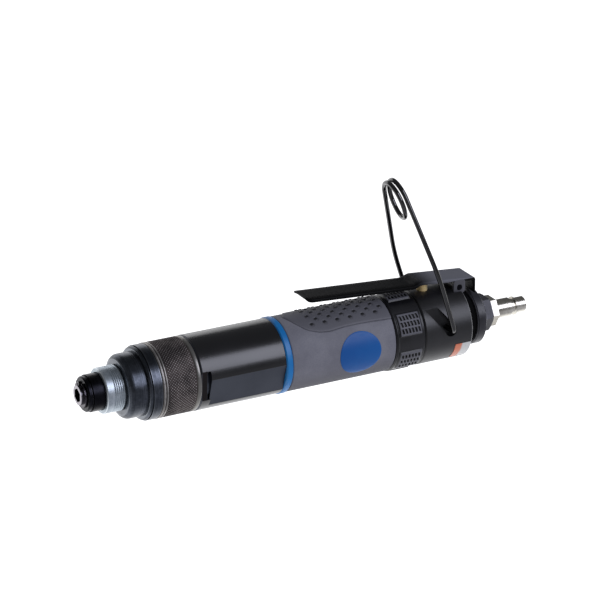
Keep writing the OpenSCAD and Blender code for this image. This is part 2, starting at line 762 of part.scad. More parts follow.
// Gloss black barrel with one milled flat on its -Y side. In front of the flat a slot goes through its wall,
// and from the slot to the barrel's front edge there is a second, short flat.
flat_start = 5;
flat_turn = 17;
slot_turn = 3;
window_w = 1.8;
window_len = 15.2;
front_flat_depth = 1.7;
module side_flat(x, length, turn, depth) rotate([turn, 0, 0]) translate([x, -barrel_r - cut, -barrel_r])
    cube([length, cut + depth, barrel_d]);
module barrel() color("#101114") difference() {
    turned([[bore_r, x_barrel], [barrel_r - edge, x_barrel], [barrel_r, x_barrel + edge],
        [barrel_r, x_band - edge / 2], [barrel_r - edge / 2, x_band], [bore_r, x_band]]);
    side_flat(x_barrel + flat_start, barrel_len - flat_start + cut, flat_turn, flat_depth);
    side_flat(x_barrel - cut, cut + flat_start - window_w, slot_turn, front_flat_depth);
    rotate([slot_turn, 0, 0]) translate([x_barrel + flat_start - window_w, -barrel_r - cut, -window_len / 2])
        cube([window_w, barrel_r - motor_r + 3 * cut, window_len]);
}
module band_ring() color("#246eb4") {
    band_r = barrel_r + band_step;
    turned([[bore_r, x_band + fit_gap], [band_r - edge, x_band + fit_gap], [band_r, x_band + edge],
        [band_r, x_grip - edge], [band_r - edge, x_grip], [bore_r, x_grip]]);
}
module motor_housing() color("lightgray") tube(x_motor, x_reverse - x_motor, seated_r, motor_r);

// End plates and their bearings
module end_plate(x, pocket_x) color("gray") difference() {
    bar(x, end_plate_w - fit_gap, motor_r - fit_gap);
    bar(x - cut, end_plate_w + 2 * cut, end_plate_bore_r);
    bar(pocket_x, plate_pocket + cut, rotor_bearing_r);
}
module front_end_plate() end_plate(x_motor, x_motor - cut);
module rear_end_plate() end_plate(x_rear_plate, x_rear_plate + end_plate_web);
front_bearing_x = x_motor + fit_gap;
rear_bearing_x = x_rear_plate + end_plate_web + fit_gap;
module front_bearing_outer() outer_race(front_bearing_x, rotor_bearing_w, rotor_bearing_r, rotor_shaft_r);
module front_bearing_inner()
    inner_race(front_bearing_x, rotor_bearing_w, rotor_bearing_r, rotor_shaft_r, small_balls_n);
module rear_bearing_outer() outer_race(rear_bearing_x, rotor_bearing_w, rotor_bearing_r, rotor_shaft_r);
module rear_bearing_inner()
    inner_race(rear_bearing_x, rotor_bearing_w, rotor_bearing_r, rotor_shaft_r, small_balls_n);

// Motor cylinder with its bore set off the axis, and air ports through the wide side
module motor_cylinder() color("silver") difference() {
    bar_end = cylinder_len - fit_gap;
    bar(x_cylinder, bar_end, motor_r - fit_gap);
    translate([0, 0, -eccentric]) bar(x_cylinder - cut, cylinder_len + 2 * cut, cylinder_bore_r);
    for (i = [1 : ports_n], side = [-1, 1])
        translate([x_cylinder + i * cylinder_len / (ports_n + 1) - port_w / 2,
            side * port_w * 2 - port_w / 2, -motor_r - cut])
            cube([port_w, port_w, motor_r]);
}
module rotor_slots(extra) around(vanes_n)
    translate([x_cylinder - cut, -vane_t / 2 - extra, rotor_r - vane_h - extra])
        cube([cylinder_len + 2 * cut, vane_t + 2 * extra, vane_h + cut]);
module rotor() color("gray") {
    body_x = x_cylinder + rotor_end_gap;
    difference() {
        bar(body_x, rotor_len, rotor_r);
        rotor_slots(vane_gap);
    }
    bar(x_rear_planets + gear_gap, body_x - x_rear_planets - gear_gap, rotor_shaft_r);
    bar(body_x + rotor_len, x_rear_plate + end_plate_w - gear_gap - body_x - rotor_len, rotor_shaft_r);
}
module vanes() color("burlywood") around(vanes_n)
    translate([x_cylinder + rotor_end_gap, -vane_t / 2, rotor_r - vane_h])
        cube([rotor_len, vane_t, vane_h - rotor_seal]);

// Grey rubber grip with a raised pad along its top
module grip_sleeve() color("#6c6c76") {
    tube(x_grip + fit_gap, grip_len - fit_gap, grip_r, seated_r + fit_gap);
    sector(x_grip + edge, grip_len - 2 * edge, grip_r - pad_h, grip_r + pad_h, -pad_half_deg, 2 * pad_half_deg);
}

// Plain round badge, which lies on the grip's -Y side
module badge() color("#1f5fa8") intersection() {
    tube(badge_x - badge_d, 2 * badge_d, grip_r + skin + badge_t, grip_r + skin);
    translate([badge_x, 0, 0]) rotate([90, 0, 0]) cylinder(h = barrel_d, r = badge_d / 2);
}

// Reverse ring with finger pads, and the spool that it turns through a pin
reverse_bore_r = motor_r;
module reverse_ring() color("#2a2a2d") difference() {
    union() {
        tube(x_reverse + face_gap, reverse_len - 2 * face_gap, reverse_r, reverse_bore_r);
        tube(x_reverse + face_gap, reverse_lip_w, reverse_r + reverse_pad_h / 2, reverse_bore_r);
        for (i = [0 : reverse_pads_n - 1])
            sector(x_reverse + reverse_pad_margin, reverse_len - 2 * reverse_pad_margin, reverse_r - edge,
                reverse_r + reverse_pad_h, i * 360 / reverse_pads_n - reverse_pad_deg / 2, reverse_pad_deg);
    }
    translate([reverse_pin_x, 0, -reverse_r]) cylinder(h = reverse_r - spool_r, r = reverse_pin_r + fit_gap);
}
module reverse_spool() color("silver") difference() {
    bar(spool_x, spool_len, spool_r - run_gap);
    bar(spool_x - cut, spool_len + 2 * cut, spool_bore_r);
    for (side = [-1, 1]) translate([spool_x - cut, side * spool_r, 0])
        bar(0, spool_len / 2, spool_r / 2);
    translate([reverse_pin_x, 0, -spool_r - cut])
        cylinder(h = spool_r - spool_bore_r - spool_land + cut, r = reverse_pin_r + fit_gap);
}
module reverse_pin() color("silver")
    translate([reverse_pin_x, 0, -reverse_r + edge])
        cylinder(h = reverse_r - edge - spool_bore_r - spool_land - fit_gap, r = reverse_pin_r);

// Matte black rear housing: it carries the reverse ring, the throttle valve, the lever and the bail
bail_bore_r = bail_r + bail_sleeve + run_gap;
module bail_pocket() for (side = [-1, 1]) {
    translate([bail_x, 0, bail_z]) rotate([0, -pocket_lean, 0]) {
        translate([-pocket_half_w, side > 0 ? pocket_floor : -pocket_floor - rear_r, 0])
            cube([2 * pocket_half_w, rear_r, pocket_len]);
        translate([0, side * pocket_floor, 0]) rotate([-90 * side, 0, 0]) cylinder(h = rear_r, r = pocket_r);
    }
    translate([bail_x, side * (bail_pin_in - soft_gap), bail_z]) rotate([-90 * side, 0, 0])
        cylinder(h = rear_r, r = bail_bore_r);
}
module pin_slot() {
    slot_half = reverse_pin_r + soft_gap;
    side_deg = asin(slot_half / spool_r);
    sector(reverse_pin_x - slot_half, 2 * slot_half, spool_r - cut, motor_r + cut, 180 - side_deg,
        reverse_deg + 2 * side_deg);
}
module rear_housing() color("#232326") difference() {
    union() {
        bar(x_spigot, x_rear - x_spigot, motor_r - run_gap);
        turned([[0, x_rear], [rear_r - edge, x_rear], [rear_r, x_rear + edge], [rear_r, x_tail - edge],
            [rear_r - edge, x_tail], [0, x_tail]]);
        bar(x_tail - edge, exhaust_len - tail_end_gap, tail_r);
        translate([pivot_x - ear_half_l, -boss_half_w, exhaust_r + soft_gap])
            cube([2 * ear_half_l, 2 * boss_half_w, pivot_z - exhaust_r - soft_gap]);
        translate([pivot_x, -boss_half_w, pivot_z]) rotate([-90, 0, 0])
            cylinder(h = 2 * boss_half_w, r = boss_r);
    }
    bar(x_spigot - cut, spool_x + spool_len + soft_gap + cut - x_spigot, spool_r);
    pin_slot();
    translate([0, 0, passage_z])
        bar(spool_x + spool_len - cut, throttle_x - spool_x - spool_len + cut, passage_r);
    bar(throttle_x + passage_gap, x_bushing - throttle_x, passage_r);
    bar(x_tail - tail_depth, exhaust_len + tail_depth + cut, tail_bore_r);
    translate([throttle_x, 0, -rear_r - cut]) cylinder_up(rear_r + cut + seat_z, chamber_r);
    translate([throttle_x, 0, seat_z - cut]) cylinder_up(guide_z - seat_z + cut, seat_hole_r);
    translate([throttle_x, 0, guide_z - cut]) cylinder_up(rear_r, throttle_r + run_gap);
    around(exhaust_holes_n, 180 / exhaust_holes_n) translate([0, 0, exhaust_hole_ring_r])
        bar(x_tail - exhaust_hole_depth, exhaust_hole_depth + cut, exhaust_hole_r);
    for (side = [-1, 1]) translate([pivot_x - ear_half_l - ear_pocket_gap,
        side > 0 ? boss_half_w : -boss_half_w - lever_t - 2 * ear_pocket_gap, pivot_z - ear_r - ear_pocket_gap])
        cube([2 * ear_half_l + 4 * ear_pocket_gap, lever_t + 2 * ear_pocket_gap, rear_r]);
    translate([pivot_x, -rear_r, pivot_z]) rotate([-90, 0, 0])
        cylinder(h = 2 * rear_r, r = pivot_d / 2 + fit_gap);
    bail_pocket();
}
module cylinder_up(h, r) linear_extrude(height = h) circle(r = r);
module side_label() color("#e8e4de")
    sector(x_tail - label_w - edge, label_w, rear_r + skin, rear_r + skin + label_t, 90 + label_from_deg,
        label_deg);

// Throttle valve: the brass pin under the lever pushes the disc off its seat against a spring
module throttle_pin() color("goldenrod") translate([throttle_x, 0, 0]) {
    translate([0, 0, guide_z]) cylinder_up(pin_head_z - guide_z, throttle_r);
    translate([0, 0, seat_z - valve_gap + fit_gap]) cylinder_up(guide_z - seat_z, stem_r);
}
module throttle_valve() color("dimgray")
    translate([throttle_x, 0, seat_z - valve_gap - valve_t]) cylinder_up(valve_t, valve_r);
module valve_spring() color("gray") translate([throttle_x, 0, -plug_in + fit_gap])
    coil_spring(valve_spring_turns, valve_spring_r, plug_in + seat_z - valve_gap - valve_t - 2 * fit_gap,
        valve_wire);
module valve_plug() color("#303034") difference() {
    translate([throttle_x, 0, -plug_in - plug_depth]) cylinder_up(plug_depth, chamber_r - fit_gap);
    translate([throttle_x, 0, -plug_in - plug_depth - cut])
        cylinder(h = plug_slot_depth + cut, r = plug_slot_r, $fn = 6);
}

// Start lever, bent from one sheet: blade, joggle, rear part with two ears, and rear wall
module lever_outline() {
    polygon([[lever_tip_x, lever_tip_z], [blade_end_x, blade_end_z],
        [blade_end_x + joggle_len, blade_end_z + joggle],
        [lever_end_x - lever_bend, lever_end_z + lever_slope * lever_bend],
        [lever_end_x, lever_end_z - lever_bend], [lever_end_x, wall_bottom_z],
        [lever_end_x - lever_t, wall_bottom_z], [lever_end_x - lever_t, lever_end_z - lever_bend - lever_t / 2],
        [lever_end_x - lever_bend - lever_t / 2, lever_end_z + lever_slope * lever_bend - lever_t],
        [blade_end_x + joggle_len, blade_end_z + joggle - lever_t],
        [blade_end_x, blade_end_z - lever_t], [lever_tip_x, lever_tip_z - lever_t]]);
}
module tip_cut(y, size) translate([lever_tip_x, y, lever_tip_z - 2 * lever_t]) rotate([0, 0, 45])
    translate([-size / 2, -size / 2, 0]) cube([size, size, 3 * lever_t]);
module lever() color("#18181a") difference() {
    union() {
        translate([0, lever_w / 2, 0]) rotate([90, 0, 0]) linear_extrude(height = lever_w) lever_outline();
        for (side = [-1, 1]) translate([pivot_x, side > 0 ? ear_in : -lever_w / 2, pivot_z]) {
            translate([-ear_half_l, 0, 0])
                cube([2 * ear_half_l, lever_t, lever_under_z - pivot_z - lever_slope * (pivot_x - throttle_x)]);
            rotate([-90, 0, 0]) cylinder(h = lever_t, r = ear_half_l);
        }
    }
    translate([pivot_x, -lever_w, pivot_z]) rotate([-90, 0, 0])
        cylinder(h = 2 * lever_w, r = pivot_d / 2 + run_gap);
    tip_cut(-lever_w / 2, near_corner);
    tip_cut(lever_w / 2, far_corner);
}
module lever_pin() color("dimgray") translate([pivot_x, -lever_w / 2, pivot_z]) rotate([-90, 0, 0])
    cylinder(h = lever_w, r = pivot_d / 2);

// Wire bail: pins in the rear housing, two legs, and a hanging eye of one and a half turns
bail_up = [-sin(bail_lean), 0, cos(bail_lean)];
bail_normal = [cos(bail_lean), 0, sin(bail_lean)];
bail_side = [0, -1, 0];
function bail_point(w, h, n) = [bail_x, 0, bail_z] + w * bail_side + h * bail_up + n * bail_normal;
coil_gap_deg = atan2(bail_bend_h - bail_coil_h, bail_bend_half_w)
    + acos(bail_coil_r / norm([bail_bend_half_w, bail_coil_h - bail_bend_h]));
coil_deg = 360 * bail_turns - 2 * coil_gap_deg;
coil_count = ceil(coil_deg / 360 * loop_rings);
coil_shift = bail_pitch * coil_deg / 360;
coil_path = [for (i = [0 : coil_count]) let (a = coil_gap_deg + coil_deg * i / coil_count)
    bail_point(bail_coil_r * cos(a), bail_coil_h + bail_stretch * bail_coil_r * sin(a),
        coil_shift * (0.5 - i / coil_count) - bail_coil_r * cos(a) * tan(bail_twist))];
leg_lean = atan2(bail_half_w - bail_bend_half_w, bail_bend_h - bail_foot_r);
bend_span = 9;
function foot_points(side) = [for (i = [0 : bend_rings]) let (a = (90 - leg_lean) * i / bend_rings)
    bail_point(side * (bail_half_w - bail_foot_r + bail_foot_r * sin(a)),
        bail_foot_r - bail_foot_r * cos(a), 0)];
function knee_points(side, shift) =
    let (low = [bail_half_w + (bail_bend_half_w - bail_half_w) * (1 - bend_span / bail_bend_h),
            bail_bend_h - bend_span],
        top_w = bail_coil_r * cos(coil_gap_deg),
        top_h = bail_coil_h + bail_stretch * bail_coil_r * sin(coil_gap_deg),
        rise = bend_span / (top_h - bail_bend_h),
        high = [bail_bend_half_w + (top_w - bail_bend_half_w) * rise, bail_bend_h + bend_span])
    [for (i = [0 : bend_rings]) let (t = i / bend_rings,
        w = (1 - t) * (1 - t) * low[0] + 2 * t * (1 - t) * bail_bend_half_w + t * t * high[0],
        h = (1 - t) * (1 - t) * low[1] + 2 * t * (1 - t) * bail_bend_h + t * t * high[1])
        bail_point(side * w, h, shift * h / top_h)];
leg_shift = coil_shift / 2 - bail_coil_r * cos(coil_gap_deg) * tan(bail_twist);
function reversed(list) = [for (i = [len(list) - 1 : -1 : 0]) list[i]];
bail_pin_end = pocket_floor;
bail_path = concat([bail_point(bail_pin_end, 0, 0)], foot_points(1), knee_points(1, leg_shift), coil_path,
    reversed(knee_points(-1, -leg_shift)), reversed(foot_points(-1)), [bail_point(-bail_pin_end, 0, 0)]);
module bail() color("#1a1a1c") {
    swept(bail_path, bail_normal, bail_r, bail_sides);
    for (side = [-1, 1]) translate([bail_x, side * bail_pin_in, bail_z]) rotate([-90 * side, 0, 0])
        cylinder(h = pocket_floor + bail_foot_r - bail_pin_in, r = bail_r + bail_sleeve);
}

// Least gap of the bail's wire to itself, measured between rings at least half a turn apart
half_loop = loop_rings / 2;
bail_gaps = [for (i = [0 : coil_count], j = [0 : coil_count]) if (j - i >= half_loop)
    norm(coil_path[i] - coil_path[j]) - bail_wire];
echo(least_bail_gap = min(bail_gaps));  // bail

// Tail: silencer, exhaust cap, inlet bushing, screen, seal and air plug
module silencer() color("#2e2b28") tube(x_tail + fit_gap, exhaust_len - 3 * exhaust_wall - fit_gap,
    exhaust_r - exhaust_wall - fit_gap, tail_r + fit_gap);
module exhaust_cap() color("#1c1c1f") {
    inner = exhaust_r - exhaust_wall;
    back = x_bushing - fit_gap;
    wall_x = x_bushing - 3 * exhaust_wall + fit_gap;
    turned([[inner, x_tail + slit_w], [exhaust_r - edge, x_tail + slit_w], [exhaust_r, x_tail + slit_w + edge],
        [exhaust_r, back - exhaust_taper], [exhaust_rear_r, back], [tail_r + fit_gap, back],
        [tail_r + fit_gap, wall_x], [inner, wall_x]]);
}
module inlet_bushing() color("#26262a") difference() {
    face_r = bushing_r - bushing_chamfer;
    far_r = bushing_r + cut;
    union() {
        intersection() {
            hex_bar(x_bushing, bushing_len, bushing_r, hex_turn);
            turned([[0, x_bushing - cut], [far_r, x_bushing - cut],
                [far_r, x_plug - (far_r - face_r) * tan(chamfer_deg)], [face_r, x_plug], [0, x_plug]]);
        }
        bar(x_bushing - bushing_neck, bushing_neck + fit_gap, bushing_neck_r);
    }
    bar(x_bushing - bushing_neck - cut, bushing_neck + bushing_len + 2 * cut, screen_step_r);
    bar(x_bushing - bushing_neck + screen_step, bushing_neck + bushing_len, bushing_bore_r);
}
module inlet_screen() color("silver") {
    x = x_bushing - bushing_neck + screen_step + fit_gap;
    difference() {
        bar(x, screen_t, bushing_bore_r - fit_gap);
        for (i = [-2 : 2], j = [-2 : 2]) if (i * i + j * j < 6)
            translate([0, i * screen_pitch, j * screen_pitch]) bar(x - cut, screen_t + 2 * cut, screen_hole_r);
    }
}
module inlet_seal() color("peru")
    tube(x_plug + fit_gap, seal_t - fit_gap, plug_hex_r - 2 * edge, plug_thread_r + fit_gap);
module air_plug() color("gainsboro") {
    hex_x = x_plug + seal_t;
    body_x = hex_x + plug_hex_w;
    groove_x = body_x + plug_body_len;
    plug_collar_x = groove_x + plug_groove_w;
    tip_x = plug_collar_x + plug_collar_w;
    difference() {
        union() {
            bar(x_plug - plug_thread_len, plug_thread_len + seal_t + cut, plug_thread_r);
            hex_bar(hex_x, plug_hex_w, plug_hex_r, hex_turn);
            turned([[0, body_x - cut], [plug_body_r, body_x - cut], [plug_body_r, groove_x - edge],
                [plug_groove_r, groove_x], [plug_groove_r, plug_collar_x],
                [plug_collar_r, plug_collar_x + edge],
                [plug_collar_r, tip_x - edge], [plug_tip_r, tip_x],
                [plug_tip_r, x_end - edge], [plug_tip_r - edge, x_end], [0, x_end]]);
        }
        bar(x_plug - plug_thread_len - cut, plug_thread_len + plug_len + 2 * cut, plug_bore_r);
    }
}

spindle();
chuck_sleeve();
chuck_spring();
chuck_clip();
bit_balls();
nose_sleeve();
nose_bush();
nose_cap();
clutch_housing();
adjusting_ring();
spring_seat();
thrust_washer();
clutch_spring();
clutch_cam();
clutch_balls();
output_carrier();
output_bearing_outer();
output_bearing_inner();
bearing_plate();
ring_gear();
planet_front_a();
planet_front_b();
planet_front_c();
middle_carrier();
planet_rear_a();
planet_rear_b();
planet_rear_c();
sun_pinion();
barrel();
band_ring();
motor_housing();
front_end_plate();
front_bearing_outer();
front_bearing_inner();
motor_cylinder();
rotor();
vanes();
rear_end_plate();
rear_bearing_outer();
rear_bearing_inner();
grip_sleeve();
badge();
reverse_ring();
reverse_spool();
reverse_pin();
rear_housing();
side_label();
throttle_pin();
throttle_valve();
valve_spring();
valve_plug();
lever();
lever_pin();
bail();
silencer();
exhaust_cap();
inlet_bushing();
inlet_screen();
inlet_seal();
air_plug();
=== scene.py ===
import math

import bmesh
import bpy
import numpy as np
from mathutils import Matrix, Vector


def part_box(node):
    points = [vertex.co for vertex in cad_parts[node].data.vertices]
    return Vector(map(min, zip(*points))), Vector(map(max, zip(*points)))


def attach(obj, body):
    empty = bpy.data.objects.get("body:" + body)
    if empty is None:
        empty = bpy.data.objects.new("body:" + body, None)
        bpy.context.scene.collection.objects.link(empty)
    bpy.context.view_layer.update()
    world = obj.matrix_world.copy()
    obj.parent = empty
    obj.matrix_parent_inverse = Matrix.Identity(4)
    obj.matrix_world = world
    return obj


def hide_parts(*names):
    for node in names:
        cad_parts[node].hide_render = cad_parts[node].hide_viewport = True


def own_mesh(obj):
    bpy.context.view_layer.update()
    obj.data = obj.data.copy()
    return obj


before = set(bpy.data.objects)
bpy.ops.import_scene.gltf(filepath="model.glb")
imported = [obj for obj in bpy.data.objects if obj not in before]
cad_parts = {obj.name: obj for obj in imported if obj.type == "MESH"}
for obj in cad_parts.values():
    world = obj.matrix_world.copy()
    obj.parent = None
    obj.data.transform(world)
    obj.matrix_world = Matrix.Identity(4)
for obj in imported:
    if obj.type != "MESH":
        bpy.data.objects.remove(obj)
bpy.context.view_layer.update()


# Spindle: a turned and hardened steel shaft with a hexagonal bit socket in its end. Its skin is dark
# from hardening in oil, and bits have rubbed the socket's mouth bright.
class Value:
    """A node's output in a material. Arithmetic on it adds Math nodes, and node() adds any other kind."""

    def __init__(self, tree, socket):
        self.tree = tree
        self.socket = socket

    def node(self, kind, settings=None, inputs=None, output=0):
        """Adds a node: its settings first, then a number, a colour or another Value for each input."""
        made = self.tree.nodes.new(kind)
        for name, setting in (settings or {}).items():
            if name == "stops":
                stops = made.color_ramp.elements
                stops[0].position = setting[0][0]
                stops[1].position = setting[-1][0]
                for place, _ in setting[1:-1]:
                    stops.new(place)
                for stop, (_, colour) in zip(stops, setting):
                    stop.color = colour
            else:
                setattr(made, name, setting)
        for key, value in (inputs or {}).items():
            if isinstance(value, Value):
                self.tree.links.new(value.socket, made.inputs[key])
            else:
                made.inputs[key].default_value = value
        return Value(self.tree, made.outputs[output])

    def maths(self, operation, *others):
        """A Math node on this value and the others."""
        return self.node("ShaderNodeMath", {"operation": operation}, dict(enumerate((self, *others))))

    def __add__(self, other):
        return self.maths("ADD", other)

    def __radd__(self, other):
        return self.maths("ADD", other)

    def __sub__(self, other):
        return self.maths("SUBTRACT", other)

    def __rsub__(self, other):
        return self.maths("MULTIPLY_ADD", -1.0, other)

    def __mul__(self, other):
        return self.maths("MULTIPLY", other)

    def __rmul__(self, other):
        return self.maths("MULTIPLY", other)


def rgb(red, green, blue):
    """A screen colour from 0 to 255 as the light that it stands for: the screen's curve, undone."""
    share = np.array([red, green, blue]) / 255
    light = np.where(share <= 0.04045, share / 12.92, ((share + 0.055) / 1.055) ** 2.4)
    return (*light.tolist(), 1.0)


def finish(name, **sockets):
    """A new material, its surface shader with these even values, and the place on the piece in metres."""
    material = bpy.data.materials.new(name)
    material.use_nodes = True
    shader = material.node_tree.nodes["Principled BSDF"]
    for socket, value in sockets.items():
        shader.inputs[socket.replace("_", " ")].default_value = value
    place = Value(material.node_tree, None).node("ShaderNodeTexCoord", output=3)
    return material, shader, place


def drive(shader, **sockets):
    """Lets values that change over the surface feed the shader's sockets."""
    for socket, value in sockets.items():
        value.tree.links.new(value.socket, shader.inputs[socket.replace("_", " ")])


def blend_colour(low, high, share):
    """The colour that lies between low and high by that share."""
    return share.node("ShaderNodeMix", {"data_type": "RGBA"}, {0: share, 6: low, 7: high}, 2)


def ramp_up(value, low, high):
    """0 where value is under low, 1 over high, and a smooth rise between them."""
    return value.node("ShaderNodeMapRange", {"interpolation_type": "SMOOTHSTEP"}, {0: value, 1: low, 2: high})


def noise(place, size, detail=3.0, roughness=0.5, stretch=(1, 1, 1)):
    """Cloudy noise from 0 to 1. Its patches are about size metres wide, times stretch along each axis."""
    scaled = place.node("ShaderNodeMapping", {"vector_type": "TEXTURE"}, {"Vector": place, "Scale": stretch})
    grain = {"Vector": scaled, "Scale": 0.5 / size, "Detail": detail, "Roughness": roughness}
    return scaled.node("ShaderNodeTexNoise", {}, grain)


def relief(shader, height, depth):
    """Bends the surface's normal as if it rose by depth metres where height goes from 0 to 1."""
    bump = height.node("ShaderNodeBump", {}, {"Strength": 1.0, "Distance": depth, "Height": height})
    drive(shader, Normal=bump)


def axes(place):
    """The three coordinates of a place."""
    return [place.node("ShaderNodeSeparateXYZ", {}, {0: place}, axis) for axis in range(3)]


def near(value, centre, half_width):
    """1 at the centre, falling smoothly to 0 at half_width on either side of it."""
    return 1 - ramp_up((value - centre).maths("ABSOLUTE"), 0.0, half_width)


def turned_metal(name, dark, base, light, rough, metal=1.0, mark=0.0002, mark_depth=0.000004, coat=0.0,
        worn_at=(), worn_colour=None, worn_width=0.0003):
    """Metal turned on a lathe: fine rings along X, cloudy patches from dark to light, a spread of gloss, and
    edges rubbed to the worn colour at the stations of worn_at, in metres."""
    material, shader, place = finish(name, Metallic=metal, Coat_Weight=coat, Coat_Roughness=0.12)
    rings = noise(place, mark, 2.0, 0.6, (1, 400, 400))
    cloud = noise(place, 0.006, 4.0, 0.55)
    fleck = noise(place, 0.0007, 3.0, 0.6)
    tone = cloud * 0.5 + fleck * 0.2 + rings * 0.3
    colour = tone.node("ShaderNodeValToRGB", {"stops": [(0.36, dark), (0.5, base), (0.64, light)]}, {0: tone})
    gloss = rough - 0.07 + cloud * 0.14 + rings * 0.06
    if worn_at:
        x = axes(place)[0]
        worn = near(x, worn_at[0], worn_width)
        for station in worn_at[1:]:
            worn = worn.maths("MAXIMUM", near(x, station, worn_width))
        worn = worn * ramp_up(cloud + fleck * 0.4, 0.35, 0.6)
        colour = blend_colour(colour, worn_colour, worn)
        gloss = gloss - worn * 0.08
    drive(shader, Base_Color=colour, Roughness=gloss)
    relief(shader, rings * 0.7 + fleck * 0.3, mark_depth)
    return material


def dress(material, *nodes):
    """Puts a material on CAD nodes in place of their plain one."""
    for node in nodes:
        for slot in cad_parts[node].material_slots:
            slot.material = material


hardened_steel = turned_metal("hardened_steel", rgb(38, 36, 40), rgb(66, 64, 70), rgb(98, 96, 102), 0.24,
    worn_at=(0.0, 0.0014), worn_colour=rgb(150, 146, 152))
dress(hardened_steel, "spindle")


# Quick-change chuck: a blackened steel sleeve that slides back against a spring and frees two balls,
# and an open spring clip with two plier holes that keeps it on the spindle.
black_oxide = turned_metal("black_oxide", rgb(14, 14, 17), rgb(24, 24, 29), rgb(40, 40, 46), 0.3,
    worn_at=(0.0047,), worn_colour=rgb(120, 120, 128), worn_width=0.00025)
dress(black_oxide, "chuck_sleeve")
clip_steel = turned_metal("clip_steel", rgb(36, 34, 38), rgb(62, 59, 64), rgb(96, 92, 98), 0.2, mark=0.0004)
dress(clip_steel, "chuck_clip")
bearing_steel = turned_metal("bearing_steel", rgb(150, 152, 156), rgb(188, 190, 194), rgb(214, 216, 220),
    0.16, mark=0.00012, mark_depth=0.000002)
dress(bearing_steel, "bit_balls", "clutch_balls")


# Nose sleeve: turned from bar, zinc plated and left silver, with a fine outside thread behind its
# plain front. A sintered bronze bush inside it carries the spindle.
silver_plate = turned_metal("silver_plate", rgb(140, 150, 158), rgb(176, 186, 194), rgb(208, 216, 222), 0.34,
    metal=0.85, mark=0.00016, mark_depth=0.000006, worn_at=(0.0113,), worn_colour=rgb(220, 226, 230))
dress(silver_plate, "nose_sleeve")
sintered_bronze = turned_metal("sintered_bronze", rgb(124, 86, 52), rgb(170, 124, 78), rgb(196, 150, 100),
    0.42, mark=0.0003, mark_depth=0.00001)
dress(sintered_bronze, "nose_bush")


# Nose cap and front collar: two turned steel pieces, blued, so that they are blue-black with a soft
# sheen, and rubbed light along the edges that stand proud.
blued_steel = turned_metal("blued_steel", rgb(44, 47, 52), rgb(68, 72, 79), rgb(98, 102, 111), 0.27,
    mark=0.00025, worn_at=(0.0209, 0.0303, 0.0323, 0.0366), worn_colour=rgb(110, 114, 120),
    worn_width=0.00024)
dress(blued_steel, "nose_cap", "clutch_housing")


# Adjusting ring: a steel ring that sets the torque, rolled with a diamond knurl between two plain
# lips. Its brown-black finish is worn through to grey steel on the crests and along the lips.
MM = 0.001


def skin(name, points, material, closed=False, caps=False, sharp_from=180):
    """A mesh over a grid of points [rows, columns, 3] in millimetres: each face joins two neighbours in a row
    to the two in the next one. Columns close on themselves, closed joins the last row to the first, and caps
    fills both ends with a fan about their middles. Edges sharper than sharp_from degrees stay crisp."""
    rows, columns = points.shape[:2]
    row = np.arange(rows if closed else rows - 1)[:, None]
    column = np.arange(columns)[None, :]
    next_row = (row + 1) % rows
    next_column = (column + 1) % columns
    corners = [row * columns + column, row * columns + next_column, next_row * columns + next_column,
        next_row * columns + column]
    faces = np.stack(corners, -1).reshape(-1, 4).tolist()
    vertices = points.reshape(-1, 3)
    if caps:
        vertices = np.vstack([vertices, points[0].mean(0), points[-1].mean(0)])
        here = np.arange(columns)
        there = (here + 1) % columns
        last = (rows - 1) * columns
        faces += np.stack([here, there, np.full(columns, rows * columns)], -1).tolist()
        faces += np.stack([last + there, last + here, np.full(columns, rows * columns + 1)], -1).tolist()
    mesh = bpy.data.meshes.new(name)
    mesh.from_pydata((vertices * MM).tolist(), [], faces)
    shell = bmesh.new()
    shell.from_mesh(mesh)
    bmesh.ops.recalc_face_normals(shell, faces=shell.faces)
    shell.to_mesh(mesh)
    shell.free()
    mesh.polygons.foreach_set("use_smooth", np.ones(len(mesh.polygons), bool))
    mesh.set_sharp_from_angle(angle=math.radians(sharp_from))
    mesh.materials.append(material)
    piece = bpy.data.objects.new(name, mesh)
    bpy.context.scene.collection.objects.link(piece)
    return piece


def revolve(stations, radii, turn):
    """A surface turned about X: at a station and an angle turn from +Z towards -Y, the point at its radius.
    radii has one value for each station, or one for each station and angle."""
    radii = np.broadcast_to(radii if np.ndim(radii) == 2 else radii[:, None], (len(stations), len(turn)))
    along = np.broadcast_to(stations[:, None], radii.shape)
    return np.stack([along, -radii * np.sin(turn), radii * np.cos(turn)], -1)


def triangle_wave(t):
    """0 at whole numbers and 1 half way between them, with straight flanks."""
    return 1 - np.abs(2 * (t % 1) - 1)


ring_r, ring_bore, crest_drop, flank_share = 18.9, 16.42, 0.03, 0.82
diamonds, steps, knurl_depth, knurl_from, knurl_to = 76, 8, 0.45, 40.2, 54.9
diamond = 2 * math.pi * ring_r / diamonds
knurl_x = np.arange(knurl_from, knurl_to, diamond / steps)
ring_turn = np.arange(diamonds * steps) * 2 * math.pi / (diamonds * steps)
front_lip = np.array([(36.95, ring_bore), (36.95, 18.35), (37.05, 18.62), (37.3, 18.86), (37.55, ring_r),
    (38.25, ring_r), (38.4, 18.7), (38.6, 18.5), (38.8, 18.7), (38.95, 18.84), (39.6, 18.84), (39.8, 18.66),
    (40.0, 18.45)])
rear_lip = np.array([(55.1, 18.4), (55.3, 18.45), (55.45, 18.75), (55.7, ring_r), (57.0, ring_r),
    (57.3, 18.8), (57.5, 18.6), (57.65, 18.3), (57.65, ring_bore)])
around = diamonds * ring_turn / (2 * math.pi)
along = (knurl_x[:, None] - knurl_from) / diamond
crossed = np.minimum(triangle_wave(around + along), triangle_wave(around - along))
knurled = ring_r - crest_drop - knurl_depth * (1 - np.minimum(crossed / flank_share, 1))
plain_front = np.repeat(front_lip[:, 1:], len(ring_turn), axis=1)
plain_rear = np.repeat(rear_lip[:, 1:], len(ring_turn), axis=1)
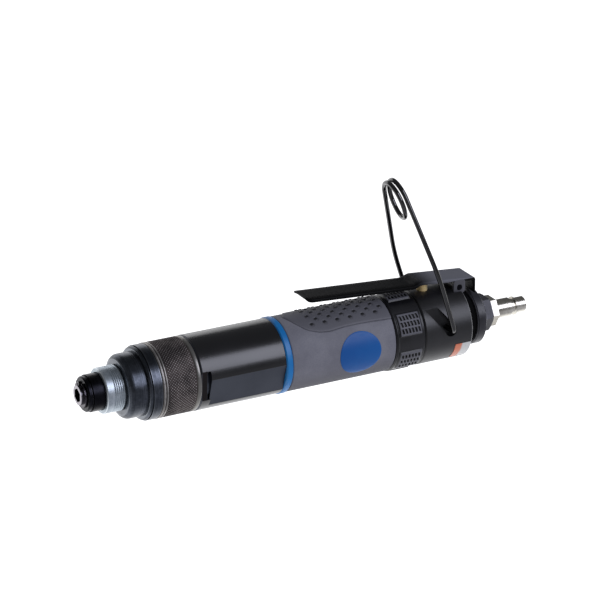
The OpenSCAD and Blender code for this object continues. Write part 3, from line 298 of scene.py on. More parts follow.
ring_x = np.concatenate([front_lip[:, 0], knurl_x, rear_lip[:, 0]])

knurl_steel, shader, place = finish("worn_knurl_steel", Metallic=0.75)
x, y, z = axes(place)
radius = (y * y + z * z).maths("SQRT")
cloud = noise(place, 0.006, 4.0, 0.6)
fleck = noise(place, 0.0006, 3.0, 0.6)
rubbed = ramp_up(cloud + fleck * 0.3, 0.5, 0.78)
crest = ramp_up(radius, 0.01868, 0.01886)
rear_rub = ramp_up(x, 0.0551, 0.0554) * ramp_up(cloud + fleck * 0.4, 0.5, 0.74)
lips = near(x, 0.0375, 0.0005).maths("MAXIMUM", near(x, 0.0391, 0.0004)).maths("MAXIMUM", rear_rub)
colour = blend_colour(rgb(60, 54, 54), rgb(104, 94, 92), ramp_up(cloud, 0.35, 0.68))
colour = blend_colour(colour, rgb(206, 202, 198), crest * (0.4 + rubbed * 0.55))
colour = blend_colour(colour, rgb(112, 111, 106), lips * 0.8)
drive(shader, Base_Color=colour, Roughness=0.5 + cloud * 0.16 - lips * 0.26)
relief(shader, fleck, 0.00001)
knurled_ring = skin("knurled_ring", revolve(ring_x, np.vstack([plain_front, knurled, plain_rear]), ring_turn),
    knurl_steel, closed=True, sharp_from=50)
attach(knurled_ring, "adjusting_group")
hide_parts("adjusting_ring")


# Clutch: a lugged spring seat, a thrust washer and a cam plate of ground steel, on a hexagonal
# output shaft with the front planets' carrier. Machined and left bare under a film of oil.
ground_steel = turned_metal("ground_steel", rgb(112, 112, 116), rgb(150, 150, 152), rgb(184, 184, 186), 0.24,
    mark=0.00015)
dress(ground_steel, "spring_seat", "thrust_washer", "clutch_cam")
oiled_steel = turned_metal("oiled_steel", rgb(70, 68, 70), rgb(104, 102, 104), rgb(140, 138, 140), 0.28,
    mark=0.0003)
dress(oiled_steel, "output_carrier", "middle_carrier", "bearing_plate", "front_end_plate", "rear_end_plate")
dress(bearing_steel, "output_bearing_outer", "output_bearing_inner", "front_bearing_outer",
    "front_bearing_inner", "rear_bearing_outer", "rear_bearing_inner")


# Gears: ring gear, planets and sun pinion, hobbed from alloy steel and case hardened, so their
# flanks are straw grey with a thin film of grease.
gear_steel = turned_metal("gear_steel", rgb(108, 98, 82), rgb(150, 140, 120), rgb(186, 176, 150), 0.3,
    mark=0.0004, coat=0.3)
dress(gear_steel, "ring_gear", "planet_front_a", "planet_front_b", "planet_front_c", "planet_rear_a",
    "planet_rear_b", "planet_rear_c", "sun_pinion")


# Barrel: a steel tube, polished and plated black to a deep gloss. One flat is milled along its near
# side, with a slot across its front end, and the milled faces are blackened bare steel.
gloss_black, shader, place = finish("gloss_black_plate", Specular_IOR_Level=0.75)
x, y, z = axes(place)
radius = (y * y + z * z).maths("SQRT")
cloud = noise(place, 0.012, 4.0, 0.55)
hair = noise(place, 0.0004, 2.0, 0.5, (60, 1, 1))
milled = 1 - ramp_up(radius, 0.01885, 0.01896)
slot_face_shade = milled * (1 - ramp_up(x, 0.0607, 0.0611)) * ramp_up(x, 0.0581, 0.0583)
colour = blend_colour(rgb(9, 9, 12), rgb(18, 18, 23), cloud)
colour = blend_colour(colour, blend_colour(rgb(66, 69, 77), rgb(94, 98, 107), cloud), milled)
# Painted shade: the slot across the flat's front end is coloured darker.
colour = blend_colour(colour, rgb(48, 45, 45), slot_face_shade)
edge_rub = near(x, 0.0580, 0.0003) * ramp_up(noise(place, 0.002), 0.42, 0.6)
colour = blend_colour(colour, rgb(96, 96, 100), edge_rub)
drive(shader, Base_Color=colour, Roughness=0.18 + cloud * 0.12 + milled * 0.18, Metallic=milled)
relief(shader, hair, 0.000003)
dress(gloss_black, "barrel")


# Band ring: a ring of blue nylon, moulded, pushed over the motor housing between the barrel and the
# grip. Satin, with a fine moulded grain.
def moulded(name, base, light, rough, grain=0.0003, depth=0.00002, specular=0.5, scuff=0.3):
    """Moulded plastic or rubber: fine grain in relief, slow changes of colour, and dull scuffs."""
    material, shader, place = finish(name, Specular_IOR_Level=specular)
    cloud = noise(place, 0.009, 4.0, 0.6)
    pits = noise(place, grain, 3.0, 0.65)
    scuffs = ramp_up(noise(place, 0.0025, 5.0, 0.7, (3, 1, 1)), 0.56, 0.76)
    tone = ramp_up(cloud * 0.7 + pits * 0.3, 0.35, 0.7) * 0.6 + scuffs * scuff
    gloss = rough - 0.05 + cloud * 0.1 + pits * 0.08 + scuffs * 0.08
    drive(shader, Base_Color=blend_colour(base, light, tone), Roughness=gloss)
    relief(shader, pits, depth)
    return material


blue_nylon = moulded("blue_nylon", rgb(6, 124, 200), rgb(18, 142, 214), 0.36)
dress(blue_nylon, "band_ring")


# Vane motor inside the grip: aluminium housing tube, cast-iron cylinder with an eccentric bore,
# steel rotor and five laminated fibre vanes.
aluminium = turned_metal("aluminium", rgb(150, 152, 154), rgb(186, 188, 190), rgb(214, 216, 218), 0.32,
    mark=0.0003)
dress(aluminium, "motor_housing")
honed_iron = turned_metal("honed_iron", rgb(92, 90, 90), rgb(128, 126, 126), rgb(160, 158, 156), 0.3,
    mark=0.00018)
dress(honed_iron, "motor_cylinder", "rotor")
vane_fibre = moulded("vane_fibre", rgb(150, 104, 58), rgb(178, 132, 82), 0.6, 0.0005, 0.00003)
dress(vane_fibre, "vanes")


# Grip: a sleeve of grey rubber moulded over the motor housing. A thumb zone along its top stands a
# little proud inside a fine wavy channel, and carries eight staggered rows of round studs. Its underside
# is toned darker, to match the shade on it in the photograph.
grip_from, grip_to, grip_r, grip_bore, end_round = 107.23, 165.1, 19.1, 16.42, 0.7
zone_x = np.array([105, 111, 112.3, 114.1, 117.4, 119.7, 124.8, 130.4, 134.8, 138.9, 146, 153, 163.5, 168])
zone_half = np.array([-50, 0, 10, 21, 33.4, 38.5, 44.2, 45.9, 44.4, 43.2, 43.0, 43.6, 45.2, 45.6])
channel_w, channel_depth, channel_out, zone_rise, zone_soft = 0.3, 0.36, 0.25, 0.4, 0.14
channel_shade, channel_shade_w, zone_dark_w, stud_shade_w = 0.7, 0.22, 0.4, 0.2
stud_rows = np.array([-30.45, -21.75, -13.05, -4.35, 4.35, 13.05, 21.75, 30.45])
stud_first, stud_pitch, stud_r, stud_rise, stud_round = 122.2, 7.12, 1.0, 0.36, 0.4
stud_border, stud_end = 2.0, 1.8
moat_depth, moat_out, moat_w, moat_reach = 0.3, 0.12, 0.22, 0.9
fine_half, fine_step, plain_step, mid_in, grip_step = 53, 0.7, 4, 0.9, 0.22


def zone_edge(x):
    """Half the zone's width at x, as an arc on the grip in millimetres: the angles between the given places
    run straight, and a bell-shaped mean over about two millimetres rounds their corners."""
    fine = np.linspace(104, 168, 1281)
    straight = np.radians(np.interp(fine, zone_x, zone_half)) * grip_r
    bell = np.hanning(45)
    longer = np.pad(straight, len(bell) // 2, mode="edge")
    smooth = np.convolve(longer, bell / bell.sum(), mode="valid")
    return np.interp(x, fine, smooth)


def zone_gap(x, arc):
    """Distance inside the zone's border: the gap round the grip, times the cosine of the border's slant."""
    slope = (zone_edge(x + 0.1) - zone_edge(x - 0.1)) / 0.2
    return (zone_edge(x) - np.abs(arc)) / np.hypot(1, slope)


top_turn = np.arange(-fine_half, fine_half + 0.01, fine_step)
plain_turn = np.arange(fine_half + 3, 360 - fine_half - 3 + 0.01, plain_step)
grip_turn = np.radians(np.concatenate([top_turn, plain_turn]))
quarter = np.radians([0, 22.5, 45, 67.5, 90])
corner_x = end_round * (1 - np.cos(quarter))
corner_drop = end_round * (1 - np.sin(quarter))
mid_x = np.arange(grip_from + mid_in, grip_to - mid_in, grip_step)
grip_x = np.concatenate([[grip_from], grip_from + corner_x, mid_x, grip_to - corner_x[::-1], [grip_to]])
grip_drop = np.concatenate([[grip_r - grip_bore], corner_drop, 0 * mid_x, corner_drop[::-1],
    [grip_r - grip_bore]])
arc = ((grip_turn + math.pi) % (2 * math.pi) - math.pi) * grip_r
inside_by = zone_gap(grip_x[:, None], arc)
swell = zone_rise / (1 + np.exp(-inside_by / zone_soft))
swell -= channel_depth * np.exp(-((inside_by + channel_out) / channel_w) ** 2)
studs = np.zeros_like(inside_by)
# Painted shade: the studs and the floor of the wavy channel are darkened, by a share stored at each point.
stud_share = channel_shade * np.exp(-((inside_by + channel_out) / channel_shade_w) ** 2)
for k, row in enumerate(np.radians(stud_rows) * grip_r):
    first = stud_first if k % 2 else stud_first + stud_pitch / 2
    from_stud = (grip_x[:, None] - first + stud_pitch / 2) % stud_pitch - stud_pitch / 2
    stud_x = grip_x[:, None] - from_stud
    stands = (zone_gap(stud_x, row) > stud_border) & (stud_x > first - 1) & (stud_x < grip_to - stud_end)
    reach = np.hypot(from_stud, arc - row)
    dome = stud_rise * np.clip((stud_r - reach) / stud_round, 0, 1) ** 0.6
    moat = moat_depth * np.exp(-((reach - stud_r - moat_out) / moat_w) ** 2)
    studs = np.where(stands & (reach < stud_r + moat_reach), dome - moat, studs)
    stud_share = np.where(stands, np.maximum(stud_share, np.clip((stud_r - reach) / stud_shade_w, 0, 1)),
        stud_share)
grip_radii = grip_r - grip_drop[:, None] + swell * (grip_drop < 1)[:, None] + studs


def give_shares(piece, **shares):
    """Stores a share from 0 to 1 for each of the piece's points, which its material reads by name."""
    for name, share in shares.items():
        attribute = piece.data.attributes.new(name, "FLOAT", "POINT")
        attribute.data.foreach_set("value", share.ravel().astype(np.float32))


grip_rubber, shader, place = finish("grip_rubber", Specular_IOR_Level=0.3)
cloud = noise(place, 0.009, 4.0, 0.6)
pits = noise(place, 0.00035, 3.0, 0.65)
on_zone = place.node("ShaderNodeAttribute", {"attribute_name": "zone_share"}, output=2)
on_stud_shade = place.node("ShaderNodeAttribute", {"attribute_name": "stud_share"}, output=2)
colour = blend_colour(rgb(122, 122, 131), rgb(142, 142, 150), ramp_up(cloud * 0.7 + pits * 0.3, 0.35, 0.7))
shaded = 1 - ramp_up(axes(place)[2], -0.0165, -0.002)
colour = blend_colour(colour, rgb(78, 78, 86), shaded * 0.85)
colour = blend_colour(colour, rgb(100, 100, 106), on_zone * 0.8)
# Painted shade on the studs and in the channel, almost black.
colour = blend_colour(colour, rgb(22, 22, 24), on_stud_shade * 0.9)
drive(shader, Base_Color=colour, Roughness=0.58 + cloud * 0.08 - on_zone * 0.06 - on_stud_shade * 0.16)
relief(shader, pits, 0.00003)
rubber_grip = skin("rubber_grip", revolve(grip_x, grip_radii, grip_turn), grip_rubber, closed=True,
    sharp_from=60)
give_shares(rubber_grip, zone_share=np.clip(inside_by / zone_dark_w, 0, 1), stud_share=stud_share)
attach(rubber_grip, "housing")
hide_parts("grip_sleeve")


# Badge: a thin round disc of plain blue film, domed a little and bonded to the side of the grip.
badge_x, badge_r, badge_base = 144.8, 11.55, 19.14
badge_turn = np.linspace(0, 2 * math.pi, 96, endpoint=False)
badge_profile = np.array([(0.02, 0.34), (0.2, 0.34), (0.4, 0.33), (0.6, 0.31), (0.8, 0.28), (0.9, 0.26),
    (0.95, 0.22), (0.98, 0.18), (1.0, 0.12), (1.0, 0.0), (0.97, 0.0)])


def on_grip(x, sideways, height):
    """A point of a disc laid on the grip: sideways is wrapped round X from the -Y line, and height is the
    distance from X."""
    turn = sideways / badge_base
    return np.stack(np.broadcast_arrays(x, -height * np.cos(turn), height * np.sin(turn)), -1)


spread = badge_r * badge_profile[:, :1]
badge_points = on_grip(badge_x + spread * np.cos(badge_turn), spread * np.sin(badge_turn),
    badge_base + badge_profile[:, 1:])
blue_film = moulded("blue_film", rgb(0, 88, 166), rgb(4, 102, 180), 0.4, 0.0002, 0.000006, 0.4, 0.12)
round_badge = skin("round_badge", badge_points, blue_film, caps=True, sharp_from=50)
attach(round_badge, "housing")
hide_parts("badge")


# Reverse ring: black moulded nylon that turns to reverse the motor. Six finger pads stand on it,
# each with three rows of small slanting slots. A steel pin carries it to the spool inside.
turn_from, turn_to, turn_r, turn_bore = 165.25, 182.05, 19.2, 14.9
pad_from, pad_to, pad_half, pad_rise, pad_soft, pad_step = 167.6, 179.9, 17.0, 0.85, 0.14, 60
slot_pitch, slot_row_gap, slot_half_w, slot_half_l, slot_depth = 1.85, 3.3, 0.56, 1.15, 0.8
slots_in_row, slot_first, slot_slant, slot_wall, slot_shade_in, slot_shade_w = 6, 0.6, 0.18, 0.24, 0.1, 0.15
bead_rise, bead_at, bead_half = 0.4, 0.9, 0.8
rim_in, rim_drop, edge_drop, turn_step = 0.2, 0.18, 0.6, 0.2
finger_turn = np.radians(np.arange(0, 360, 0.6))
flat_x = np.arange(turn_from + 0.6, turn_to - 0.59, turn_step)
finger_x = np.concatenate([[turn_from, turn_from, turn_from + rim_in], flat_x,
    [turn_to - rim_in, turn_to, turn_to]])
wall = turn_r - turn_bore
finger_drop = np.concatenate([[wall, edge_drop, rim_drop], 0 * flat_x, [rim_drop, edge_drop, wall]])
pad_arc = np.radians((np.degrees(finger_turn) + pad_step / 2) % pad_step - pad_step / 2) * turn_r
pad_gap = np.minimum(np.minimum(finger_x - pad_from, pad_to - finger_x)[:, None],
    math.radians(pad_half) * turn_r - np.abs(pad_arc))
pads = pad_rise / (1 + np.exp(-pad_gap / pad_soft))
slot_row = np.round(pad_arc / slot_row_gap)
beside = pad_arc - slot_row * slot_row_gap
slot_at = (finger_x[:, None] - pad_from - slot_first - slot_slant * beside) / slot_pitch
across_slot = (slot_at % 1 - 0.5) * slot_pitch
in_pad = (np.abs(slot_row) < 1.5) & (slot_at > 0) & (slot_at < slots_in_row)
edge_gap = slot_half_w - np.maximum(np.abs(across_slot), np.abs(beside) - slot_half_l + slot_half_w)
slots = slot_depth * np.clip(edge_gap / slot_wall, 0, 1) * in_pad
# Painted shade: the slots are darkened inside, by a share stored at each point.
slot_share = np.clip((edge_gap + slot_shade_in) / slot_shade_w, 0, 1) * in_pad
bead = bead_rise * np.clip(1 - np.abs(finger_x - turn_from - bead_at) / bead_half, 0, 1)[:, None] ** 0.5
finger_radii = turn_r - finger_drop[:, None] + (pads - slots + bead) * (finger_drop == 0)[:, None]

ring_nylon, shader, place = finish("ring_nylon", Specular_IOR_Level=0.5)
_, y, z = axes(place)
radius = (y * y + z * z).maths("SQRT")
cloud = noise(place, 0.009, 4.0, 0.6)
pits = noise(place, 0.0003, 3.0, 0.65)
on_pad = ramp_up(radius, 0.0197, 0.01995)
in_slot_shade = place.node("ShaderNodeAttribute", {"attribute_name": "slot_share"}, output=2)
colour = blend_colour(rgb(18, 18, 21), rgb(34, 34, 38), ramp_up(cloud * 0.7 + pits * 0.3, 0.35, 0.7))
colour = blend_colour(colour, rgb(112, 112, 120), on_pad * (0.6 + cloud * 0.3))
# Painted shade in the slots, almost black.
colour = blend_colour(colour, rgb(8, 8, 9), in_slot_shade)
drive(shader, Base_Color=colour, Roughness=0.26 + cloud * 0.08 + pits * 0.06 + on_pad * 0.2)
relief(shader, pits, 0.00002)
finger_ring = skin("finger_ring", revolve(finger_x, finger_radii, finger_turn), ring_nylon, closed=True,
    sharp_from=60)
give_shares(finger_ring, slot_share=slot_share)
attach(finger_ring, "reverse_group")
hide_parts("reverse_ring")
dress(ground_steel, "reverse_spool", "reverse_pin")


# Rear housing: a die-cast body painted satin black, which carries the valve, the lever and the bail.
# The paint has a fine texture and is rubbed to bright metal along the rear edge. A film label is
# stuck on its side, orange and then white.
cast_black, shader, place = finish("cast_black", Specular_IOR_Level=0.65)
x, y, z = axes(place)
radius = (y * y + z * z).maths("SQRT")
cloud = noise(place, 0.008, 4.0, 0.6)
grit = noise(place, 0.0004, 3.0, 0.6)
rub = near(x, 0.2091, 0.0005) * ramp_up(radius, 0.0186, 0.0189) * ramp_up(noise(place, 0.003), 0.3, 0.5)
colour = blend_colour(rgb(14, 14, 16), rgb(26, 26, 29), ramp_up(cloud * 0.7 + grit * 0.3, 0.35, 0.7))
colour = blend_colour(colour, rgb(190, 190, 192), rub)
drive(shader, Base_Color=colour, Roughness=0.3 + cloud * 0.12 + grit * 0.06 - rub * 0.1, Metallic=rub * 0.8)
relief(shader, grit, 0.00003)
dress(cast_black, "rear_housing")

label_film, shader, place = finish("label_film", Coat_Weight=0.3)
cloud = noise(place, 0.002, 3.0)
white_share = ramp_up(axes(place)[0] + cloud * 0.0006, 0.2033, 0.2045)
colour = blend_colour(rgb(238, 110, 44), rgb(230, 232, 230), white_share)
drive(shader, Base_Color=blend_colour(colour, rgb(206, 202, 196), cloud * 0.35), Roughness=0.3 + cloud * 0.2)
relief(shader, cloud, 0.00001)
dress(label_film, "side_label")


# Throttle valve: a brass pin under the lever, a rubber-faced disc on its stem, and the screwed plug
# that holds the spring from below.
pin_brass = turned_metal("pin_brass", rgb(226, 192, 130), rgb(255, 228, 164), rgb(255, 240, 200), 0.3,
    metal=0.3, mark=0.0003, mark_depth=0.000008)
dress(pin_brass, "throttle_pin")
valve_rubber = moulded("valve_rubber", rgb(30, 30, 32), rgb(52, 52, 54), 0.6)
dress(valve_rubber, "throttle_valve")
dress(black_oxide, "valve_plug", "lever_pin")


# Start lever: pressed from 1.7 mm steel sheet: a flat blade with one corner of its tip rounded off, a
# step up, a rear part with two ears on the pivot pin, and a folded rear wall. It is powder coated black.
# Its rear top is toned grey, to match the light on it in the photograph.
sheet, lever_half, near_corner, far_corner = 1.7, 7.4, 3.6, 0.6
lever_line = np.array([(121.0, 29.3), (182.0, 25.2), (185.4, 26.8), (217.4, 23.5), (217.4, 15.1)])
lever_bends = [0.0, 9.0, 9.0, 1.6, 0.0]
lever_edge, crown_drop, crown_from, crown_stop, crown_fade = 0.4, 0.5, 4.0, 24, 10
tip_steps = np.array([0, 0.06, 0.15, 0.3, 0.5, 0.8, 1.2, 1.7, 2.3, 3.0, 3.6, 6, 20, 40])
end_steps, end_shares = [0, 0.3, 0.8, 1.6], [0.3, 0.6, 0.85, 1.0]


def rounded_path(corners, reaches, steps=9):
    """Straight runs with rounded corners: at a corner the curve (1-t)^2 a + 2 t (1-t) corner + t^2 b, whose
    ends a and b lie on the two runs at that corner's reach, or at almost half the shorter run."""
    pieces = [corners[:1]]
    t = np.linspace(0, 1, steps)[:, None]
    for before, here, after, reach in zip(corners, corners[1:], corners[2:], reaches[1:]):
        back, ahead = before - here, after - here
        reach = min(reach, np.linalg.norm(back) * 0.49, np.linalg.norm(ahead) * 0.49)
        a = here + back / np.linalg.norm(back) * reach
        b = here + ahead / np.linalg.norm(ahead) * reach
        pieces.append((1 - t) ** 2 * a + 2 * t * (1 - t) * here + t ** 2 * b)
    pieces.append(corners[-1:])
    return np.vstack(pieces)


def rounded_bar(half_width, half_height, corner, steps=5):
    """Outline of a rectangle with round corners: a quarter circle of that radius at each corner in turn."""
    a = np.linspace(0, math.pi / 2, steps)
    arc = np.stack([np.cos(a), np.sin(a)], -1) * corner + (half_width - corner, half_height - corner)
    return np.vstack([arc, arc[::-1] * (-1, 1), arc * (-1, -1), arc[::-1] * (1, -1)])


def corner_cut(run, radius):
    """What a round corner takes off the width at run from the end: r less the root of r^2 - (r - run)^2."""
    short = radius - np.minimum(run, radius)
    return radius - np.sqrt(radius ** 2 - short ** 2)


blade = (lever_line[1] - lever_line[0]) / np.linalg.norm(lever_line[1] - lever_line[0])
top_line = np.vstack([lever_line[0] + tip_steps[:, None] * blade, rounded_path(lever_line, lever_bends)[1:]])
ahead = np.gradient(top_line, axis=0)
ahead /= np.linalg.norm(ahead, axis=1)[:, None]
inward = np.stack([ahead[:, 1], -ahead[:, 0]], -1)
run = np.concatenate([[0], np.cumsum(np.linalg.norm(np.diff(top_line, axis=0), axis=1))])
thinned = np.interp(np.minimum(run, run[-1] - run), end_steps, end_shares)[:, None]
across = np.linspace(1, -1, 17)[1:-1]
turned = np.linspace(0, math.pi / 2, 5)
whole, none = np.ones(5), 0 * across
share = np.concatenate([whole, across, -whole, -whole, -across, whole])
bulge = [np.cos(turned), none, -np.sin(turned), -np.cos(turned), none, np.sin(turned)]
bulge = lever_edge * np.concatenate(bulge)
over = [np.sin(turned), none + 1, np.cos(turned), -np.sin(turned), none - 1, -np.cos(turned)]
over = lever_edge * np.concatenate(over)
over += np.sign(over + 1e-9) * (sheet / 2 - lever_edge)
side_cut = np.where(share > 0, corner_cut(run, far_corner)[:, None], corner_cut(run, near_corner)[:, None])
sideways = share * (lever_half - side_cut - lever_edge) + bulge
crown = crown_drop * np.clip((np.abs(sideways) - crown_from) / (lever_half - crown_from), 0, 1) ** 2
crown = crown * np.clip((run[-1] - run - crown_stop) / crown_fade, 0, 1)[:, None]
under = (sheet / 2 - over) * thinned + crown
lever_points = np.stack([top_line[:, :1] + inward[:, :1] * under, sideways,
    top_line[:, 1:] + inward[:, 1:] * under], -1)

powder_black, shader, place = finish("powder_black", Specular_IOR_Level=0.1)
cloud = noise(place, 0.01, 4.0, 0.6)
peel = noise(place, 0.0008, 2.0, 0.5)
scuffs = ramp_up(noise(place, 0.002, 5.0, 0.7, (4, 1, 1)), 0.6, 0.8)
colour = blend_colour(rgb(5, 5, 6), rgb(14, 14, 16), cloud * 0.7 + scuffs * 0.3)
x, _, z = axes(place)
rear_top = ramp_up(x, 0.182, 0.2) * ramp_up(z, 0.0232, 0.0236)
colour = blend_colour(colour, rgb(134, 135, 143), rear_top * (0.8 + scuffs * 0.2))
drive(shader, Base_Color=colour, Roughness=0.42 + cloud * 0.1 + scuffs * 0.1)
relief(shader, peel, 0.00002)
lever_strip = skin("lever_strip", lever_points, powder_black, caps=True, sharp_from=40)
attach(lever_strip, "lever_group")
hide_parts("lever")

pivot_x, pivot_z, hole_r, bevel = 208.0, 19.5, 1.55, 0.3
ear_half_w, ear_half_h, ear_corner, ear_up = 3.4, 3.85, 1.9, 0.55
ear_outline = rounded_bar(ear_half_w, ear_half_h, ear_corner, steps=9) + (0, ear_up)
outward = ear_outline / np.linalg.norm(ear_outline, axis=1)[:, None]
ear_rings = [(outward * hole_r, bevel / 2), (outward * (hole_r + bevel / 2), 0),
    (ear_outline - outward * bevel, 0), (ear_outline - outward * bevel * 0.3, bevel * 0.3),
    (ear_outline, bevel)]
ear_rings += [(ring, sheet - depth) for ring, depth in ear_rings[::-1]]
# The ears are powder coated black like the blade, but coloured mid grey: painted light on them.
ear_painted_light = moulded("ear_painted_light", rgb(72, 72, 77), rgb(98, 98, 104), 0.34)
for name, side in (("lever_ear_near", -1), ("lever_ear_far", 1)):
    ear_points = [np.stack([pivot_x + ring[:, 0], np.full(len(ring), side * (lever_half - depth)),
        pivot_z + ring[:, 1]], -1) for ring, depth in ear_rings]
    ear = skin(name, np.array(ear_points), ear_painted_light, closed=True, sharp_from=40)
    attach(ear, "lever_group")


# Bail: spring wire bent into two legs and a hanging eye of one and a half turns, its ends sprung
# into bores in the housing. Enamelled black, with a bright line of gloss along it.
wire_r, coil_r, coil_h, coil_pitch, coil_tall, coil_turns = 1.2, 8.9, 70.9, 2.95, 1.14, 1.5
lean, twist = math.radians(17.8), math.radians(4.4)
foot_w, foot_r, knee_w, knee_h, knee_span = 22.7, 3.0, 21.8, 32.0, 9.0
bail_foot, wire_end = np.array([196.7, 0.0, 2.5]), 10.0
bail_up = np.array([-math.sin(lean), 0, math.cos(lean)])
bail_out = np.array([math.cos(lean), 0, math.sin(lean)])


def on_bail(sideways, height, out):
    """A point that far to the near side, up the bail and out of its plane."""
    sideways, height, out = np.broadcast_arrays(np.asarray(sideways, float), height, out)
    near_side = bail_foot - sideways[..., None] * (0, 1, 0)
    return near_side + height[..., None] * bail_up + out[..., None] * bail_out


leave = math.atan2(knee_h - coil_h, knee_w) + math.acos(coil_r / math.hypot(knee_w, coil_h - knee_h))
sweep = 2 * math.pi * coil_turns - 2 * leave
share = np.linspace(0, 1, 97)
coil_a = leave + sweep * share
shift = coil_pitch * sweep / (2 * math.pi)
coil = on_bail(coil_r * np.cos(coil_a), coil_h + coil_tall * coil_r * np.sin(coil_a),
    shift * (0.5 - share) - coil_r * np.cos(coil_a) * math.tan(twist))
leg_shift = shift / 2 - coil_r * math.cos(leave) * math.tan(twist)
leg_lean = math.atan2(foot_w - knee_w, knee_h - foot_r)
top_w, top_h = coil_r * math.cos(leave), coil_h + coil_tall * coil_r * math.sin(leave)
low_w, low_h = foot_w + (knee_w - foot_w) * (1 - knee_span / knee_h), knee_h - knee_span
high_w, high_h = knee_w + (top_w - knee_w) * knee_span / (top_h - knee_h), knee_h + knee_span
foot_a = np.linspace(0, math.pi / 2 - leg_lean, 14)
t = np.linspace(0, 1, 22)
bend_h = (1 - t) ** 2 * low_h + 2 * t * (1 - t) * knee_h + t ** 2 * high_h
bend_w = (1 - t) ** 2 * low_w + 2 * t * (1 - t) * knee_w + t ** 2 * high_w
legs = []
for side in (1, -1):
    foot = on_bail(side * (foot_w - foot_r + foot_r * np.sin(foot_a)), foot_r - foot_r * np.cos(foot_a), 0)
    leg = on_bail(side * bend_w, bend_h, side * leg_shift * bend_h / top_h)
    legs.append(np.vstack([on_bail(side * wire_end, 0, 0), foot, leg]))
wire_path = np.vstack([legs[0], coil, legs[1][::-1]])


def round_wire(path, radius, normal, sides=20):
    """A round tube along a path: at each point a circle in the plane that lies across the path."""
    ahead = np.gradient(path, axis=0)
    ahead /= np.linalg.norm(ahead, axis=1)[:, None]
    side = np.cross(ahead, normal)
    side /= np.linalg.norm(side, axis=1)[:, None]
    up = np.cross(side, ahead)
    a = np.linspace(0, 2 * math.pi, sides, endpoint=False)[None, :, None]
    return path[:, None] + radius * (np.cos(a) * side[:, None] + np.sin(a) * up[:, None])


wire_enamel, shader, place = finish("wire_enamel", Specular_IOR_Level=0.9)
cloud = noise(place, 0.004, 3.0, 0.5)
drive(shader, Base_Color=blend_colour(rgb(5, 5, 6), rgb(13, 13, 15), cloud), Roughness=0.06 + cloud * 0.06)
relief(shader, noise(place, 0.0012, 2.0, 0.5), 0.00001)
hanging_wire = skin("hanging_wire", round_wire(wire_path, wire_r, bail_out), wire_enamel, caps=True,
    sharp_from=60)
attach(hanging_wire, "bail_group")
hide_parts("bail")


# Springs: three coils of hard-drawn steel wire, behind the chuck sleeve, between the clutch cam and the
# thrust washer, and under the throttle valve.
spring_steel = turned_metal("spring_steel", rgb(58, 58, 64), rgb(92, 94, 100), rgb(140, 142, 148), 0.3,
    mark=0.0006)
springs = [("sleeve_spring", "chuck_spring", (1, 0, 0), 0.9, 4, "output_group", "chuck_slide", 19.5, 2.5),
    ("torque_spring", "clutch_spring", (1, 0, 0), 1.6, 3, "cam_group", "adjust_turn", 43.3, 3.0),
    ("throttle_spring", "valve_spring", (0, 0, 1), 0.9, 5, "housing", "throttle_travel", -13.0, 1.6)]


def wind_spring(low, high, axis, wire, turns):
    """A coil that fills a box: at turn a the point mean_r (cos a, sin a) across the axis, while it rises
    evenly along the axis, from half a wire inside one end to half a wire inside the other."""
    mean_r = (high[1] - low[1]) / 2 - wire / 2
    a = np.linspace(0, 2 * math.pi * turns, 32 * turns + 1)[:, None]
    rise = np.linspace(low @ axis + wire / 2, high @ axis - wire / 2, len(a))[:, None]
    circle = np.cos(a) * np.cross((0, 1, 0), axis) + np.sin(a) * (0, 1, 0)
    return round_wire((low + high) / 2 * (1 - axis) + rise * axis + mean_r * circle, wire / 2, axis, sides=12)


for name, node, axis, wire, turns, body, joint, fixed_end, travel in springs:
    axis = np.array(axis, float)
    low, high = (np.array(corner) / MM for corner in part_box(node))
    coil = skin(name, wind_spring(low, high, axis, wire, turns), spring_steel, caps=True, sharp_from=60)
    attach(coil, body)
    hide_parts(node)
    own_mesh(coil)


# Tail: a ring of black porous plastic silences the exhaust in the gap before a stepped black cap. A
# hexagonal steel bushing with a screen and a fibre seal holds the nickel-plated air plug.
porous_black = moulded("porous_black", rgb(10, 10, 11), rgb(26, 26, 28), 0.9, 0.0005, 0.0001, 0.1)
dress(porous_black, "silencer")
cap_black = turned_metal("cap_black", rgb(30, 30, 34), rgb(46, 46, 51), rgb(64, 64, 70), 0.3, metal=0.0,
    mark=0.0003, worn_at=(0.2155, 0.2199), worn_colour=rgb(92, 92, 98), worn_width=0.00025)
dress(cap_black, "exhaust_cap")
bushing_black = turned_metal("bushing_black", rgb(30, 30, 34), rgb(52, 52, 57), rgb(80, 80, 86), 0.32,
    metal=0.4, mark=0.0004, worn_at=(0.2218, 0.2277), worn_colour=rgb(110, 110, 116), worn_width=0.00025)
dress(bushing_black, "inlet_bushing")
dress(bearing_steel, "inlet_screen")
red_fibre = moulded("red_fibre", rgb(122, 62, 48), rgb(150, 84, 66), 0.6)
dress(red_fibre, "inlet_seal")
nickel = turned_metal("nickel", rgb(156, 151, 141), rgb(200, 196, 185), rgb(226, 223, 213), 0.2, mark=0.00025,
    worn_at=(0.2327, 0.2508), worn_colour=rgb(240, 238, 232))
dress(nickel, "air_plug")


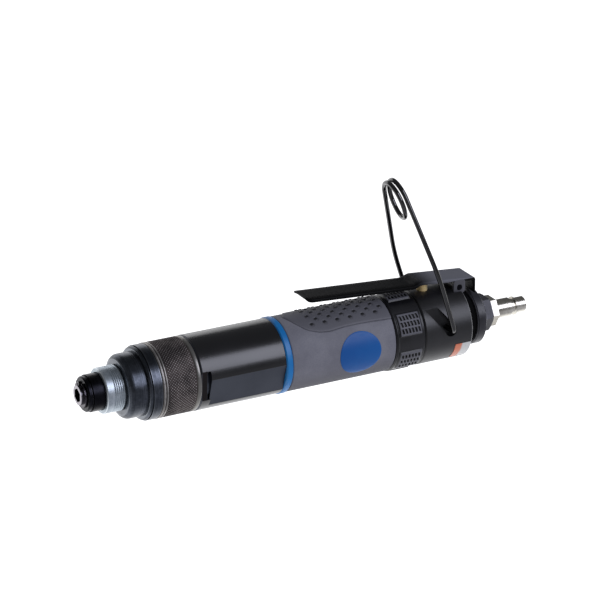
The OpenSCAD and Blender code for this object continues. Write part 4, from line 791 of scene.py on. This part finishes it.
# Stage: a studio floor well under the tool, toned grey before it and white behind it, so that the tool's
# underside is as dark as in the photograph. One soft box is before the tool and one behind it, and the
# camera is at the photograph's view.
floor_z, floor_reach = -0.25, 8.0
floor_mesh = bpy.data.meshes.new("studio_floor")
floor_corners = [(right * floor_reach, back * floor_reach, floor_z)
    for right, back in ((-1, -1), (1, -1), (1, 1), (-1, 1))]
floor_mesh.from_pydata(floor_corners, [], [(0, 1, 2, 3)])
floor = bpy.data.objects.new("studio_floor", floor_mesh)
bpy.context.scene.collection.objects.link(floor)
pale_floor, shader, place = finish("pale_floor", Roughness=0.9, Specular_IOR_Level=0.0, Emission_Strength=1.0)
# The floor glows: its emission and its colour are painted grey before the tool and white behind it.
floor_glow_share = ramp_up(axes(place)[1], -0.2, 0.09)
drive(shader, Base_Color=blend_colour(rgb(170, 170, 172), rgb(250, 250, 250), floor_glow_share + noise(place, 0.5) * 0.04),
    Emission_Color=blend_colour(rgb(138, 138, 142), rgb(255, 255, 255), floor_glow_share))
floor_mesh.materials.append(pale_floor)

world = bpy.data.worlds.new("studio")
bpy.context.scene.world = world
world.use_nodes = True
world.node_tree.nodes["Background"].inputs["Color"].default_value = (0.93, 0.95, 1.0, 1)
world.node_tree.nodes["Background"].inputs["Strength"].default_value = 0.15


def soft_box(name, place, aim, width, height, radiance, colour):
    """A rectangular lamp that faces a point. Its power is radiance times its area times pi."""
    lamp = bpy.data.lights.new(name, "AREA")
    lamp.shape = "RECTANGLE"
    lamp.size, lamp.size_y = width, height
    lamp.energy = radiance * width * height * math.pi
    lamp.color = colour
    box = bpy.data.objects.new(name, lamp)
    facing = (Vector(aim) - Vector(place)).to_track_quat("-Z", "Y").to_matrix().to_4x4()
    box.matrix_world = Matrix.Translation(place) @ facing
    bpy.context.scene.collection.objects.link(box)


soft_box("front_box", (0.51, -0.66, 0.48), (0.12, 0.0, 0.0), 0.62, 0.56, 3.6, (0.84, 0.86, 1.0))
soft_box("back_box", (0.08, 0.8, 0.25), (0.12, 0.0, 0.0), 0.9, 0.5, 1.3, (0.98, 0.98, 1.0))

lens = bpy.data.cameras.new("camera")
lens.lens = 180
lens.sensor_width = 36
lens.clip_end = 50
camera = bpy.data.objects.new("camera", lens)
camera_axes = Matrix(((0.8838, -0.4679, 0.0), (0.1753, 0.3311, 0.9272), (-0.4338, -0.8194, 0.3746)))
camera.matrix_world = Matrix.Translation((-0.52145, -1.21305, 0.58108)) @ camera_axes.transposed().to_4x4()
bpy.context.scene.collection.objects.link(camera)
bpy.context.scene.camera = camera
bpy.context.scene.view_settings.view_transform = "Standard"
